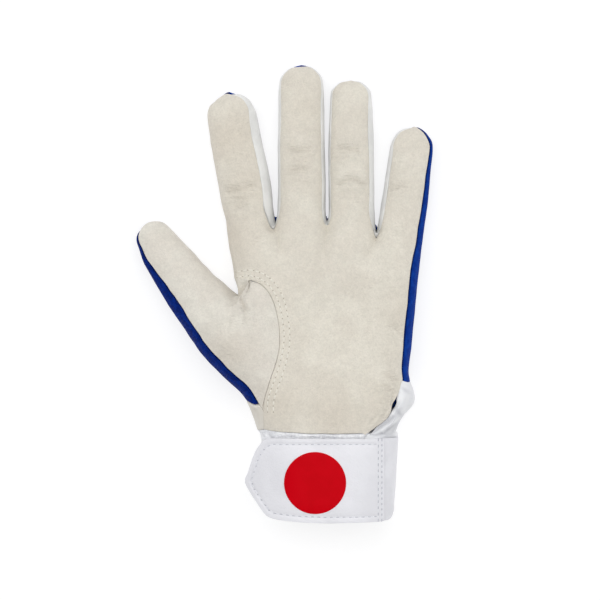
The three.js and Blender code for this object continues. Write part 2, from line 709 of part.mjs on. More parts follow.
// A panel of the skin as a closed wall, with its edges drawn in by half the seam gap
function wallGeometry(faces, thickness) {
  const next = new Map();
  const previous = new Map();
  const edges = new Set(faces.flatMap(([a, b, c]) => [`${a} ${b}`, `${b} ${c}`, `${c} ${a}`]));
  for (const [a, b, c] of faces) {
    for (const [from, to] of [[a, b], [b, c], [c, a]]) {
      if (edges.has(`${to} ${from}`)) continue;
      next.set(from, to);
      previous.set(to, from);
    }
  }
  const used = [...new Set(faces.flat())];
  const place = new Map(used.map((index, i) => [index, i]));
  const along = (from, to, normal) => {
    return points[to].clone().sub(points[from]).projectOnPlane(normal).normalize();
  };
  const outer = used.map((index) => {
    const point = points[index].clone();
    if (!next.has(index)) return point;
    const normal = normals[index];
    const into = along(previous.get(index), index, normal);
    const onward = along(index, next.get(index), normal);
    const inward = normal.clone().cross(into).add(normal.clone().cross(onward));
    let reach = SEAM_GAP / 2;
    if (inward.length() < SHARP_TIP) {
      inward.copy(into).sub(onward);
      if (normal.clone().cross(into).dot(onward) > 0) inward.negate();
      reach *= 2;
    } else {
      reach /= Math.max(LEAST_MITRE, inward.length() / 2);
    }
    point.add(inward.normalize().multiplyScalar(reach));
    point.z = Math.max(point.z, 0);
    return point;
  });
  const inner = used.map((index, i) => outer[i].clone().addScaledVector(normals[index], -thickness));
  const vertices = [...outer, ...inner];
  const count = used.length;
  const triangles = [];
  for (const face of faces) {
    const [a, b, c] = face.map((index) => place.get(index));
    triangles.push([a, b, c], [a + count, c + count, b + count]);
  }
  for (const [from, to] of next) {
    const a = place.get(from);
    const b = place.get(to);
    triangles.push([b, a, a + count], [b, a + count, b + count]);
  }
  return meshGeometry(vertices, triangles);
}

function meshGeometry(vertices, triangles) {
  const geometry = new THREE.BufferGeometry();
  const positions = vertices.flatMap((vertex) => vertex.toArray());
  geometry.setAttribute('position', new THREE.Float32BufferAttribute(positions, 3));
  geometry.setIndex(triangles.flat());
  geometry.computeVertexNormals();
  return geometry;
}

// A closed plate between two grids of points that match one another
function plateGeometry(upper, lower) {
  const rows = upper.length;
  const columns = upper[0].length;
  const vertices = [...upper.flat(), ...lower.flat()];
  const count = rows * columns;
  const at = (row, column) => row * columns + column;
  const triangles = [];
  const addQuad = (a, b, c, d) => triangles.push([a, b, c], [a, c, d]);
  for (let i = 0; i + 1 < rows; i += 1) {
    for (let j = 0; j + 1 < columns; j += 1) {
      addQuad(at(i, j), at(i + 1, j), at(i + 1, j + 1), at(i, j + 1));
      addQuad(at(i, j) + count, at(i, j + 1) + count, at(i + 1, j + 1) + count, at(i + 1, j) + count);
    }
  }
  const rim = [];
  for (let j = 0; j + 1 < columns; j += 1) rim.push(at(0, j));
  for (let i = 0; i + 1 < rows; i += 1) rim.push(at(i, columns - 1));
  for (let j = columns - 1; j > 0; j -= 1) rim.push(at(rows - 1, j));
  for (let i = rows - 1; i > 0; i -= 1) rim.push(at(i, 0));
  rim.forEach((a, i) => {
    const b = rim[(i + 1) % rim.length];
    addQuad(a, b, b + count, a + count);
  });
  return meshGeometry(vertices, triangles);
}

// Strap over the palm side of the cuff: height of its underside, which leaves the cuff at the tab
function strapHeight(x, y, grow) {
  if (x >= STRAP.leavesAt) return palmHeight(x, y, grow);
  const start = palmHeight(STRAP.leavesAt, y, grow);
  const slope = (palmHeight(STRAP.leavesAt + 1, y, grow) - start) * STRAP.flare;
  return start + slope * (x - STRAP.leavesAt);
}

function strapPlate(lift, thickness, columns, rows) {
  const grid = (grow) => columns.map(({ x, top, bottom }) => evenly(bottom, top, rows).map((y) => {
    return new THREE.Vector3(x, y, strapHeight(x, y, grow));
  }));
  return plateGeometry(grid(lift + thickness), grid(lift));
}

// Root of the strap: round the little-finger side of the cuff, from the front to the underside
function rootGeometry() {
  const firstTurn = ROOT_TURNS[0];
  const lastTurn = ROOT_TURNS[ROOT_TURNS.length - 1];
  const mid = read(HAND, 'mid', ROOT.levelY);
  const grid = (grow) => ROOT_TURNS.map((turn) => ROOT_ROWS.map((y) => {
    const right = read(HAND, 'right', y) + grow;
    const corner = read(HAND, 'corner', ROOT.levelY) + grow;
    const floor = read(HAND, 'floor', ROOT.levelY) - grow;
    if (turn <= 1) {
      const angle = ((turn - firstTurn) / (1 - firstTurn)) * 90 * degrees;
      const x = mix(ROOT.frontEnd, right, Math.sin(angle));
      return new THREE.Vector3(x, y, turn === 1 ? mid : palmHeight(x, y, grow));
    }
    if (turn <= 2) {
      const angle = (turn - 1) * 90 * degrees;
      const x = right - corner * (1 - Math.cos(angle));
      return new THREE.Vector3(x, y, floor + (mid - floor) * (1 - Math.sin(angle)));
    }
    const x = mix(right - corner, ROOT.underEnd, (turn - 2) / (lastTurn - 2));
    return new THREE.Vector3(x, y, floor);
  }));
  return plateGeometry(grid(ROOT.lift + COATED_LEATHER), grid(ROOT.lift));
}

function badgeGeometry() {
  const { sides, rings } = BADGE;
  const lift = STRAP.lift + COATED_LEATHER + BADGE.lift;
  const layer = (grow) => {
    const ringPoints = rings.flatMap((share) => Array.from({ length: sides }, (_, i) => {
      const angle = (i / sides) * 360 * degrees;
      const x = BADGE.x + BADGE.radius * share * Math.cos(angle);
      const y = BADGE.y + BADGE.radius * share * Math.sin(angle);
      return new THREE.Vector3(x, y, strapHeight(x, y, grow));
    }));
    return [...ringPoints, new THREE.Vector3(BADGE.x, BADGE.y, strapHeight(BADGE.x, BADGE.y, grow))];
  };
  const vertices = [...layer(lift + BADGE.thickness), ...layer(lift)];
  const count = rings.length * sides + 1;
  const centre = count - 1;
  const triangles = [];
  for (let i = 0; i < sides; i += 1) {
    const j = (i + 1) % sides;
    const cap = [[i, j, sides + j], [i, sides + j, sides + i], [sides + i, sides + j, centre]];
    for (const [a, b, c] of cap) triangles.push([a, b, c], [a + count, c + count, b + count]);
    triangles.push([j, i, i + count], [j, i + count, j + count]);
  }
  return meshGeometry(vertices, triangles);
}

const colours = {
  chamois: { color: 0xddd7cb, roughness: 0.95, metalness: 0 },
  thumbChamois: { color: 0xe2ddd2, roughness: 0.93, metalness: 0 },
  sideLeather: { color: 0xeeeeee, roughness: 0.6, metalness: 0 },
  stretchFabric: { color: 0x152f9c, roughness: 0.55, metalness: 0 },
  paleLeather: { color: 0xe8e4dc, roughness: 0.8, metalness: 0 },
  coatedLeather: { color: 0xf0f1f5, roughness: 0.42, metalness: 0 },
  touchTape: { color: 0xe4e4e6, roughness: 0.95, metalness: 0 },
  badgePrint: { color: 0xd10019, roughness: 0.4, metalness: 0 },
};

const glove = new THREE.Group();

function addPiece(name, geometry, colour) {
  const mesh = new THREE.Mesh(geometry, new THREE.MeshStandardMaterial(colours[colour]));
  mesh.name = name;
  glove.add(mesh);
}

const skinPieces = table('name thickness colour', [
  ['palm_panel', LEATHER, 'chamois'],
  ['thumb_panel', LEATHER, 'thumbChamois'],
  ['thumb_gusset', LEATHER, 'thumbChamois'],
  ['fourchette_index_middle', SIDE_LEATHER, 'sideLeather'],
  ['fourchette_middle_ring', SIDE_LEATHER, 'sideLeather'],
  ['fourchette_ring_little', SIDE_LEATHER, 'sideLeather'],
  ['back_panel', STRETCH_FABRIC, 'stretchFabric'],
  ['thumb_back', STRETCH_FABRIC, 'stretchFabric'],
  ['wrist_side', LEATHER, 'paleLeather'],
  ['cuff', LEATHER, 'coatedLeather'],
  ['slit_flap', LEATHER, 'coatedLeather'],
]);
for (const { name, thickness, colour } of skinPieces) {
  addPiece(name, wallGeometry(panels.get(name), thickness), colour);
}
addPiece('strap_root', rootGeometry(), 'coatedLeather');
const strap = strapPlate(STRAP.lift, COATED_LEATHER, STRAP_SHAPE, STRAP.rows);
addPiece('wrist_strap', strap, 'coatedLeather');
const padColumns = evenly(PAD.left, PAD.right, PAD.columns).map((x) => ({ ...PAD, x }));
addPiece('strap_pad', strapPlate(PAD.lift, TOUCH_TAPE, padColumns, PAD.rows), 'touchTape');
addPiece('badge', badgeGeometry(), 'badgePrint');

export default glove;
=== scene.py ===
import math

import bpy
import numpy as np
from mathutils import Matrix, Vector, noise
from mathutils.bvhtree import BVHTree


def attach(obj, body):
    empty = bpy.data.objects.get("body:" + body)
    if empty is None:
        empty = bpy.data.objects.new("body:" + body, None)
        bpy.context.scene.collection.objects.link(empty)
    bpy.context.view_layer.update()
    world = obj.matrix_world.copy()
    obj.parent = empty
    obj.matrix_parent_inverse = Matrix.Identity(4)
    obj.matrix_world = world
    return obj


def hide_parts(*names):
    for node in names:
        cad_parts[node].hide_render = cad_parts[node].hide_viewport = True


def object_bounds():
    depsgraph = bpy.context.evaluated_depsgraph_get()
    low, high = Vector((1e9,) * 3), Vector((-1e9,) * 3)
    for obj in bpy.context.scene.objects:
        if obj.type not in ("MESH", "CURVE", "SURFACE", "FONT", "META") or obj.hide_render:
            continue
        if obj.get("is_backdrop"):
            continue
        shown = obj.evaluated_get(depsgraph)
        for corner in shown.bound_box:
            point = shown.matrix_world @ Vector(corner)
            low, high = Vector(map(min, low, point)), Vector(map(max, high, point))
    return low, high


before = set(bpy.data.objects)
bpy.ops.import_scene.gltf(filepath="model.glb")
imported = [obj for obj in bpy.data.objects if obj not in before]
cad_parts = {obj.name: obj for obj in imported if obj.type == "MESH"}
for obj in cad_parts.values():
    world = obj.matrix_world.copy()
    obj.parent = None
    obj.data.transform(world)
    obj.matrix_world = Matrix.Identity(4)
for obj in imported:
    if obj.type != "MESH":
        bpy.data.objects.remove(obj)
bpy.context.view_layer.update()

# The camera looks straight down on the palm from 1.3 m through a long lens,
# as the glove was photographed.
CAMERA_PLACE = (-0.01325, 0.0159, 1.337)
LENS = 150
SENSOR = 36
bpy.ops.object.camera_add(location=CAMERA_PLACE, rotation=(0, 0, 0))
camera = bpy.context.object
camera.data.lens = LENS
camera.data.sensor_width = SENSOR
bpy.context.scene.camera = camera
bpy.context.scene.view_settings.view_transform = "Standard"

# Floor and light: a plain pale table that glows a little, so that its shadows stay soft, a
# large soft lamp high above the fingers, a weaker one on each side, and an even white
# surround.
FLOOR_SIZE = 4
FLOOR_HEIGHT = -0.0003
FLOOR_WHITE = (0.35, 0.35, 0.352, 1)
FLOOR_ROUGHNESS = 0.9
FLOOR_GLOW = 0.7
SURROUND_GLOW = 0.45
WHITE = (1, 1, 1, 1)
LAMP_AIM = Vector((0, 0.02, 0))
LAMPS = (
    # name, place, width, power
    ("lamp_above", (-0.05, 0.4, 1.7), 1.5, 15.0),
    ("lamp_left", (-1.1, 0.5, 0.8), 0.9, 3.2),
    ("lamp_right", (1.1, 0.1, 0.8), 0.9, 3.2),
)
bpy.ops.mesh.primitive_plane_add(size=FLOOR_SIZE, location=(0, 0, FLOOR_HEIGHT))
floor = bpy.context.object
floor.name = "floor"
floor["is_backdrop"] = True
floor_paper = bpy.data.materials.new("floor_paper")
floor_paper.use_nodes = True
paper = floor_paper.node_tree.nodes["Principled BSDF"]
paper.inputs["Base Color"].default_value = FLOOR_WHITE
paper.inputs["Roughness"].default_value = FLOOR_ROUGHNESS
paper.inputs["Emission Color"].default_value = WHITE
paper.inputs["Emission Strength"].default_value = FLOOR_GLOW
floor.data.materials.append(floor_paper)

world = bpy.data.worlds.new("surround")
bpy.context.scene.world = world
world.use_nodes = True
surround = world.node_tree.nodes["Background"]
surround.inputs["Color"].default_value = WHITE
surround.inputs["Strength"].default_value = SURROUND_GLOW
for name, place, size, power in LAMPS:
    turn = (LAMP_AIM - Vector(place)).to_track_quat("-Z", "Y").to_euler()
    bpy.ops.object.light_add(type="AREA", location=place, rotation=turn)
    lamp = bpy.context.object
    lamp.name = name
    lamp.data.size = size
    lamp.data.energy = power

# Palm panel: one piece of brushed chamois that covers the palm and the front of the four
# fingers. Its edges are turned in and sewn, so the skin rolls over at every seam, and it is
# creased a little where the fingers bend.
MM = 0.001  # sizes are in mm where nothing else is said
TINY = 1e-6
MERGE = 2e-6  # corners nearer than this are one, in metres
QUAD_TURN = 0.9  # how far joined triangles may turn and skew, in radians
QUAD_SKEW = 1.2
SMOOTH_ROUNDS = 3
SMOOTHING = (0.5, -0.53)
SHARP = math.radians(55)
SOFT_SHADE = math.radians(50)
SEAM_CLOSE = 0.15  # how far an edge grows over the seam gap
WIDEST_BAND = 2.0  # an edge's band of faces is narrower than this
ROLL = 0.34  # width of a rolled edge
FIRMNESS = 1.2  # how much of what rounding takes is given back
LINING_SHARE = 0.68  # share of the lining's faces that stay
LINING_TURN = -0.3  # how far down the lining's faces look
LINING_HEIGHT = 8.0
PALM_CREASES = (
    # x1, y1, x2, y2, half width, depth
    (-52.7, 73.0, -46.5, 74.3, 1.5, 0.7),
    (-48.0, 74.0, -36.0, 76.4, 1.4, 0.55),
    (-51.0, 70.4, -44.0, 69.6, 1.2, 0.45),
    (-49.5, 64.0, -40.6, 66.6, 1.6, 0.4),
    (-50.0, 90.5, -43.0, 92.5, 1.8, 0.3),
    (-20.0, 95.8, -11.5, 94.4, 1.5, 0.6),
    (-13.5, 94.2, -6.4, 95.9, 1.4, 0.5),
    (-19.8, 84.2, -12.0, 84.2, 1.4, 0.65),
    (-14.0, 84.6, -8.5, 85.4, 1.3, 0.4),
    (-19.0, 79.5, -7.0, 76.0, 1.6, 0.3),
    (6.2, 95.6, 18.6, 94.8, 1.5, 0.75),
    (8.0, 91.5, 15.0, 91.0, 1.3, 0.4),
    (5.8, 76.7, 13.4, 80.0, 1.4, 0.7),
    (11.5, 80.0, 22.4, 76.6, 1.4, 0.7),
    (8.0, 70.4, 20.0, 69.0, 1.6, 0.35),
    (33.0, 75.2, 43.0, 75.6, 1.5, 0.5),
    (36.0, 88.0, 43.0, 87.4, 1.6, 0.3),
    (-38.0, 44.5, -31.0, 50.5, 1.0, 0.3),
    (-40.5, 48.0, -33.0, 52.0, 0.9, 0.25),
    (-45.0, 57.0, -34.0, 60.0, 1.4, 0.3),
    (-16.0, 58.5, -7.0, 59.5, 1.6, 0.2),
    (9.0, 56.0, 20.0, 57.5, 1.6, 0.2),
    (30.0, 51.0, 43.0, 53.0, 1.6, 0.25),
    (34.0, 5.0, 42.0, -4.0, 2.2, 0.4),
    (30.0, -22.0, 39.0, -27.0, 1.8, 0.5),
    (28.0, -27.0, 36.0, -32.0, 1.6, 0.5),
    (-39.3, 26.6, -39.9, 21.2, 0.45, 1.15),
    (-39.8, 22.0, -41.5, 18.6, 0.45, 0.7),
    (-44.5, 18.0, -41.8, 10.5, 1.3, 0.85),
    (-41.8, 13.0, -41.4, 3.0, 1.8, 0.5),
    (-46.0, 8.0, -52.0, 1.0, 3.0, 0.4),
    (-57.0, -10.0, -48.0, -14.0, 2.6, 0.3),
    # Beside the slit: grooves that darken the palm's edge with painted shade
    (35.8, -31.5, 34.2, -39.5, 0.7, 0.5),
    (33.2, -34.5, 32.2, -41.0, 0.6, 0.35),
    (32.6, -41.5, 28.6, -46.4, 0.7, 0.35),
    (27.0, -45.0, 23.4, -48.6, 0.7, 0.3),
)
DEEPEST = 0.8  # a crease this deep has its full painted shade
CREASE_BOW = 0.04
CREASE_FADE = 2.5
GROOVE_DROP = 1.15
RIDGE_RISE = 0.5
RIDGE_AWAY = 2.3  # in widths of the groove
# Colour of the painted shade that darkens the creases' grooves
CREASE_SHADE_TONE = "A99F8F"
HANDLED_TONE = "D0C6B7"
HANDLED = (
    # x, y, radius, and how much darker the skin is
    (-50.0, 48.0, 13.0, 0.7),
    (-49.0, 100.0, 15.0, 0.8),
    (-43.0, 76.0, 12.0, 0.7),
    (-13.0, 116.0, 12.0, 0.5),
    (-13.0, 90.0, 10.0, 0.3),
    (40.0, 8.0, 16.0, 0.4),
    (-22.0, -40.0, 13.0, 0.5),
    (4.0, -44.0, 15.0, 0.6),
    (24.0, -34.0, 10.0, 0.4),
    (-52.0, -14.0, 14.0, 0.6),
)
JOINT_REACH = 5.5
JOINT_DEPTH = 0.5  # the skin round a crease this deep is fully wrinkled
DRAWN = (
    # x, y, reach, and how far the sewing has drawn the skin to the right and up
    (-84.0, 24.0, 4.0, 0.7, 0.0),
    (-80.0, 18.0, 4.0, 0.7, 0.0),
    (-76.0, 12.0, 4.0, 0.6, 0.0),
    (-51.0, -21.0, 4.0, -0.8, 0.0),
    (-47.0, -26.0, 4.0, -0.9, 0.0),
    (-95.5, 35.5, 4.5, -0.6, 0.0),
    (-97.5, 44.5, 3.5, 0.5, 0.0),
    (-64.5, 37.0, 4.5, -0.6, -0.6),
    (-59.0, 30.5, 4.5, -0.6, -0.6),
)
FINGER_TIPS = (
    # x, y, lean, how much wider all layers are, and the leather on the right and on the left
    (-48.9, 125.0, -0.18, -0.08, 0.2, 0.0),
    (-13.1, 140.0, 0.0, 0.04, 0.1, 0.03),
    (13.6, 132.2, 0.01, 0.08, 0.14, 0.02),
    (44.8, 107.6, 0.11, -0.05, 0.0, 0.1),
)
FINGER_HALF = (11.0, 13.5)  # off a finger's middle, where its own moves end
TIP_SHOULDER = (4.5, 3.0)  # how far below the tip its widest place is, and its reach
TIP_END = (1.8, 2.0)  # how much more the very end widens, and its reach
TIP_SIDES = (4.0, 22.0)  # below the tip, where the leather's own extra width ends
TIP_DROP = 0.8
TIP_REACH = 3.4
TIP_FADE = (1.0, 8.0)
CROTCHES = (
    # x, y, how far the seam drops and leans
    (-27.2, 57.6, 4.0, -1.2),
    (0.4, 57.3, 2.8, -0.3),
    (26.4, 51.4, 2.7, 0.0),
)
CROTCH_REACH = 4.5
CROTCH_KEEPS = 0.85  # share of the filling that the seams' ends are spared
MAP_CORNER = 130  # a map of the skin's height, with a cell to the mm
MAP_SIZE = 280
MAP_SPREAD = 9
VALLEY_RISE = 1.3
VALLEY_SKIN = 8.0  # only skin above this height counts
VALLEY_START = (34.0, 42.0)
VALLEY_END = (52.0, 62.0)
VALLEY_SIDES = (34.0, 42.0)
UNEVEN = (
    # how many waves to the mm, how high
    (0.055, 0.45),
    (0.16, 0.16),
)
UNEVEN_SEED = 3
FLOOR_SIDE = (0.5, 5.0)  # heights over which the underside ends
PALM_SIDE = (9.0, 14.0)  # heights over which the palm side begins
WRIST_TOP = (14.0, 22.0)  # heights over which the top of the wrist begins
SLIT_MOUTH = (36.0, -38.6)
SLIT_MOUTH_REACH = (2.2, 2.86)
SLIT_MOUTH_DEPTH = 0.9
SLIT_BULGE = (31.5, -44.5, 5.5, 0.85, -0.8)  # x, y, reach, and the move right and up
noise.seed_set(UNEVEN_SEED)  # so that the unevenness is the same every time


def only(piece):
    """Makes a piece the only thing selected."""
    if bpy.context.object and bpy.context.object.mode != "OBJECT":
        bpy.ops.object.mode_set(mode="OBJECT")
    bpy.ops.object.select_all(action="DESELECT")
    piece.select_set(True)
    bpy.context.view_layer.objects.active = piece


def apply_modifier(piece, kind, **settings):
    """Adds a modifier with its settings and applies it."""
    only(piece)
    modifier = piece.modifiers.new(kind.lower(), kind)
    for setting, value in settings.items():
        setattr(modifier, setting, value)
    bpy.ops.object.modifier_apply(modifier=modifier.name)


def read_points(piece):
    """The vertices of a piece as rows of x, y, z in mm."""
    points = np.zeros(len(piece.data.vertices) * 3, np.float32)
    piece.data.vertices.foreach_get("co", points)
    return points.reshape(-1, 3).astype(float) / MM


def write_points(piece, points):
    """Moves the vertices of a piece to rows of x, y, z in mm."""
    piece.data.vertices.foreach_set("co", (points * MM).astype(np.float32).ravel())
    piece.data.update()


def soft(away, reach):
    """1 where away is 0, falling softly towards 0 past the reach."""
    return np.exp(-((away / reach) ** 2))


def near(points, x, y, reach, reach_up=None):
    """1 at a place seen from above, falling softly towards 0 past the reach."""
    return soft(points[:, 0] - x, reach) * soft(points[:, 1] - y, reach_up or reach)


def ramp(values, low, high):
    """Rises smoothly from 0 at low to 1 at high."""
    share = np.clip((values - low) / (high - low), 0, 1)
    return share * share * (3 - 2 * share)


def edge_bands(mesh, sharp):
    """Faces of the wall's narrow edge, and how far out each of its vertices looks."""
    sharp_keys = {mesh.edges[i].key for i in np.flatnonzero(sharp)}
    beside = {}
    for face in mesh.polygons:
        for key in face.edge_keys:
            beside.setdefault(key, []).append(face.index)
    group = np.full(len(mesh.polygons), -1)
    outward = np.zeros((len(mesh.vertices), 3))
    for seed in range(len(group)):
        if group[seed] >= 0:
            continue
        group[seed] = seed
        members, border, area = [seed], 0.0, 0.0
        for index in members:
            face = mesh.polygons[index]
            area += face.area
            for key in face.edge_keys:
                if key in sharp_keys:
                    a, b = (mesh.vertices[i].co for i in key)
                    border += (a - b).length
                    continue
                for other in beside[key]:
                    if group[other] < 0:
                        group[other] = seed
                        members.append(other)
        if 2 * area < border * WIDEST_BAND * MM:
            for index in members:
                face = mesh.polygons[index]
                outward[list(face.vertices)] += np.array(face.normal) * face.area
    lengths = np.linalg.norm(outward, axis=1)
    outward[lengths > 0] /= lengths[lengths > 0][:, None]
    return outward


def hold_shape(panel, sharp):
    """Moves the points out by what rounding the form off will take from it."""
    mesh = panel.data
    before = read_points(panel)
    creases = mesh.attributes.new("crease_edge", "FLOAT", "EDGE")
    creases.data.foreach_set("value", sharp.astype(np.float32))
    only(panel)
    bpy.ops.object.duplicate()
    trial = bpy.context.object
    apply_modifier(trial, "SUBSURF", levels=1, render_levels=1)
    after = read_points(trial)[: len(before)]
    bpy.data.objects.remove(trial)
    only(panel)
    mesh.attributes.remove(mesh.attributes["crease_edge"])
    write_points(panel, before + (before - after) * FIRMNESS)


def cut_panel(node, name, levels=2, rounds=SMOOTH_ROUNDS, close=SEAM_CLOSE):
    """A copy of a plain solid as smooth leather or cloth with rolled edges."""
    only(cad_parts[node])
    bpy.ops.object.duplicate()
    panel = bpy.context.object
    panel.name = name
    panel.data.name = name
    for key in list(panel.keys()):
        del panel[key]
    panel.data.materials.clear()
    bpy.ops.object.mode_set(mode="EDIT")
    bpy.ops.mesh.select_mode(type="EDGE")
    bpy.ops.mesh.select_all(action="SELECT")
    bpy.ops.mesh.remove_doubles(threshold=MERGE)
    bpy.ops.mesh.tris_convert_to_quads(face_threshold=QUAD_TURN, shape_threshold=QUAD_SKEW)
    bpy.ops.mesh.select_all(action="DESELECT")
    bpy.ops.mesh.edges_select_sharp(sharpness=SHARP)
    bpy.ops.object.mode_set(mode="OBJECT")
    mesh = panel.data
    sharp = np.zeros(len(mesh.edges), bool)
    mesh.edges.foreach_get("select", sharp)
    write_points(panel, read_points(panel) + edge_bands(mesh, sharp) * close)
    ends = np.zeros(len(mesh.edges) * 2, np.int64)
    mesh.edges.foreach_get("vertices", ends)
    inside = np.ones(len(mesh.vertices), bool)
    inside[ends.reshape(-1, 2)[sharp].ravel()] = False
    bpy.ops.object.mode_set(mode="EDIT")
    bpy.ops.mesh.select_mode(type="VERT")
    bpy.ops.mesh.select_all(action="DESELECT")
    bpy.ops.object.mode_set(mode="OBJECT")
    mesh.vertices.foreach_set("select", inside)
    bpy.ops.object.mode_set(mode="EDIT")
    for _ in range(rounds):
        for factor in SMOOTHING:
            bpy.ops.mesh.vertices_smooth(factor=factor)
    bpy.ops.object.mode_set(mode="OBJECT")
    hold_shape(panel, sharp)
    bpy.ops.object.mode_set(mode="EDIT")
    bpy.ops.mesh.select_mode(type="EDGE")
    bpy.ops.mesh.select_all(action="DESELECT")
    bpy.ops.mesh.edges_select_sharp(sharpness=SHARP)
    bpy.ops.mesh.bevel(offset=ROLL * MM, segments=2, clamp_overlap=False)
    bpy.ops.object.mode_set(mode="OBJECT")
    apply_modifier(panel, "SUBSURF", levels=levels, render_levels=levels)
    return panel


def facing_up(piece):
    """How far up each point of a piece looks: 1 is straight up, -1 straight down."""
    normals = np.zeros(len(piece.data.vertices) * 3, np.float32)
    piece.data.vertex_normals.foreach_get("vector", normals)
    return normals.reshape(-1, 3)[:, 2]


def thin_lining(piece):
    """Leaves fewer faces on the side of the leather that lies against the hand."""
    heights = read_points(piece)[:, 2]
    inner = (facing_up(piece) < LINING_TURN) & (heights > LINING_HEIGHT)
    lining = piece.vertex_groups.new(name="lining")
    lining.add(np.flatnonzero(inner).tolist(), 1.0, "REPLACE")
    apply_modifier(piece, "DECIMATE", ratio=LINING_SHARE, vertex_group=lining.name)
    piece.vertex_groups.clear()


def mark(piece, name, values):
    """Gives each point of a piece a value that its finish can read."""
    attribute = piece.data.attributes.new(name, "FLOAT", "POINT")
    attribute.data.foreach_set("value", np.array(values, np.float32))


def shape_fingers(piece, leather=False):
    """Blunts the fingertips, and lets the seams between the fingers end in a soft U."""
    points = read_points(piece)
    for x, y, lean, fuller, right, left in FINGER_TIPS:
        down = y - points[:, 1]
        across = points[:, 0] - x + lean * down
        own = 1 - ramp(np.abs(across), *FINGER_HALF)
        shoulder, shoulder_reach = TIP_SHOULDER
        end, end_reach = TIP_END
        wider = fuller * (soft(down - shoulder, shoulder_reach) + end * soft(down, end_reach))
        if leather:
            wider += np.where(across > 0, right, left) * (1 - ramp(down, *TIP_SIDES))
        points[:, 0] += across * wider * own
        top = soft(across, TIP_REACH) * (1 - ramp(down, *TIP_FADE))
        points[:, 1] -= TIP_DROP * top * own
    high = ramp(points[:, 2], *PALM_SIDE)
    for x, y, drop, lean in CROTCHES:
        share = near(points, x, y, CROTCH_REACH) * high
        points[:, 0] += lean * share
        points[:, 1] -= drop * share
    write_points(piece, points)


def fill_valleys(piece):
    """Stretches the skin over the valleys that run down from between the fingers."""
    points = read_points(piece)
    cells = np.round(points[:, :2] + MAP_CORNER).astype(int)
    top = np.full((MAP_SIZE, MAP_SIZE), -1.0)
    np.maximum.at(top, (cells[:, 0], cells[:, 1]), points[:, 2])
    known = (top > VALLEY_SKIN).astype(float)
    reach = soft(np.arange(-MAP_SPREAD, MAP_SPREAD + 1), MAP_SPREAD / 2)

    def spread(grid):
        for axis in (0, 1):
            grid = np.apply_along_axis(np.convolve, axis, grid, reach, "same")
        return grid

    near_skin = np.maximum(spread(known), TINY)
    rise = np.maximum(spread(top * known) / near_skin - top, 0) * known
    rise = (spread(rise) / near_skin + rise) / 2
    share = ramp(points[:, 1], *VALLEY_START) * (1 - ramp(points[:, 1], *VALLEY_END))
    inside = 1 - ramp(np.abs(points[:, 0]), *VALLEY_SIDES)
    for x, y, drop, lean in CROTCHES:
        inside = inside * (1 - CROTCH_KEEPS * near(points, x + lean, y - drop, CROTCH_REACH))
    points[:, 2] += VALLEY_RISE * rise[cells[:, 0], cells[:, 1]] * share * inside
    write_points(piece, points)


def round_slit(points):
    """Moves the slit's seam out, so that the palm ends in a fuller curve."""
    x, y, reach, right, up = SLIT_BULGE
    share = near(points, x, y, reach) * ramp(points[:, 2], *WRIST_TOP)
    points[:, 0] += right * share
    points[:, 1] += up * share


def wear_in(piece, creases=PALM_CREASES):
    """Presses the creases into the palm side, marks where their painted shade goes, and makes the
    skin a little uneven.
    """
    points = read_points(piece)
    shift = np.zeros((len(points), 2))
    for spot_x, spot_y, reach, right, up in DRAWN:
        shift += near(points, spot_x, spot_y, reach)[:, None] * (right, up)
    points[:, :2] += shift
    x, y, z = points.T
    lift = np.zeros(len(points))
    crease_shade = np.zeros(len(points))
    joint = np.zeros(len(points))
    worn = np.zeros(len(points))
    for x1, y1, x2, y2, width, depth in creases:
        length = math.hypot(x2 - x1, y2 - y1)
        along = ((x - x1) * (x2 - x1) + (y - y1) * (y2 - y1)) / length
        off = ((x - x1) * (y2 - y1) - (y - y1) * (x2 - x1)) / length
        bow = off + CREASE_BOW * (along - length / 2) ** 2 / max(length, 1)
        start = ramp(along, -CREASE_FADE, CREASE_FADE)
        ends = start * (1 - ramp(along, length - CREASE_FADE, length + CREASE_FADE))
        groove = soft(bow, width)
        ridges = soft(np.abs(bow) - RIDGE_AWAY * width, width)
        lift += depth * ends * (RIDGE_RISE * ridges - GROOVE_DROP * groove)
        crease_shade = np.maximum(crease_shade, depth / DEEPEST * ends * groove)
        close_by = soft(off, JOINT_REACH) * ends
        joint = np.maximum(joint, min(1.0, depth / JOINT_DEPTH) * close_by)
    for spot_x, spot_y, radius, share in HANDLED:
        worn = np.maximum(worn, share * near(points, spot_x, spot_y, radius))
    face = ramp(z, *PALM_SIDE)
    points[:, 2] += lift * face
    mark(piece, "crease_shade", crease_shade * face)
    mark(piece, "joint", joint * face)
    mark(piece, "worn", worn)
    off_floor = ramp(z, *FLOOR_SIDE)
    for scale, amount in UNEVEN:
        moved = [noise.noise_vector(Vector(point) * scale) for point in points]
        points += np.array(moved) * (amount * off_floor)[:, None]
    write_points(piece, points)


def hand_over(piece, node, finish):
    """Gives a piece its finish and puts it on the glove in place of its plain solid."""
    piece.data.materials.append(finish.material)
    only(piece)
    bpy.ops.object.shade_smooth_by_angle(angle=SOFT_SHADE)
    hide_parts(node)
    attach(piece, "root")


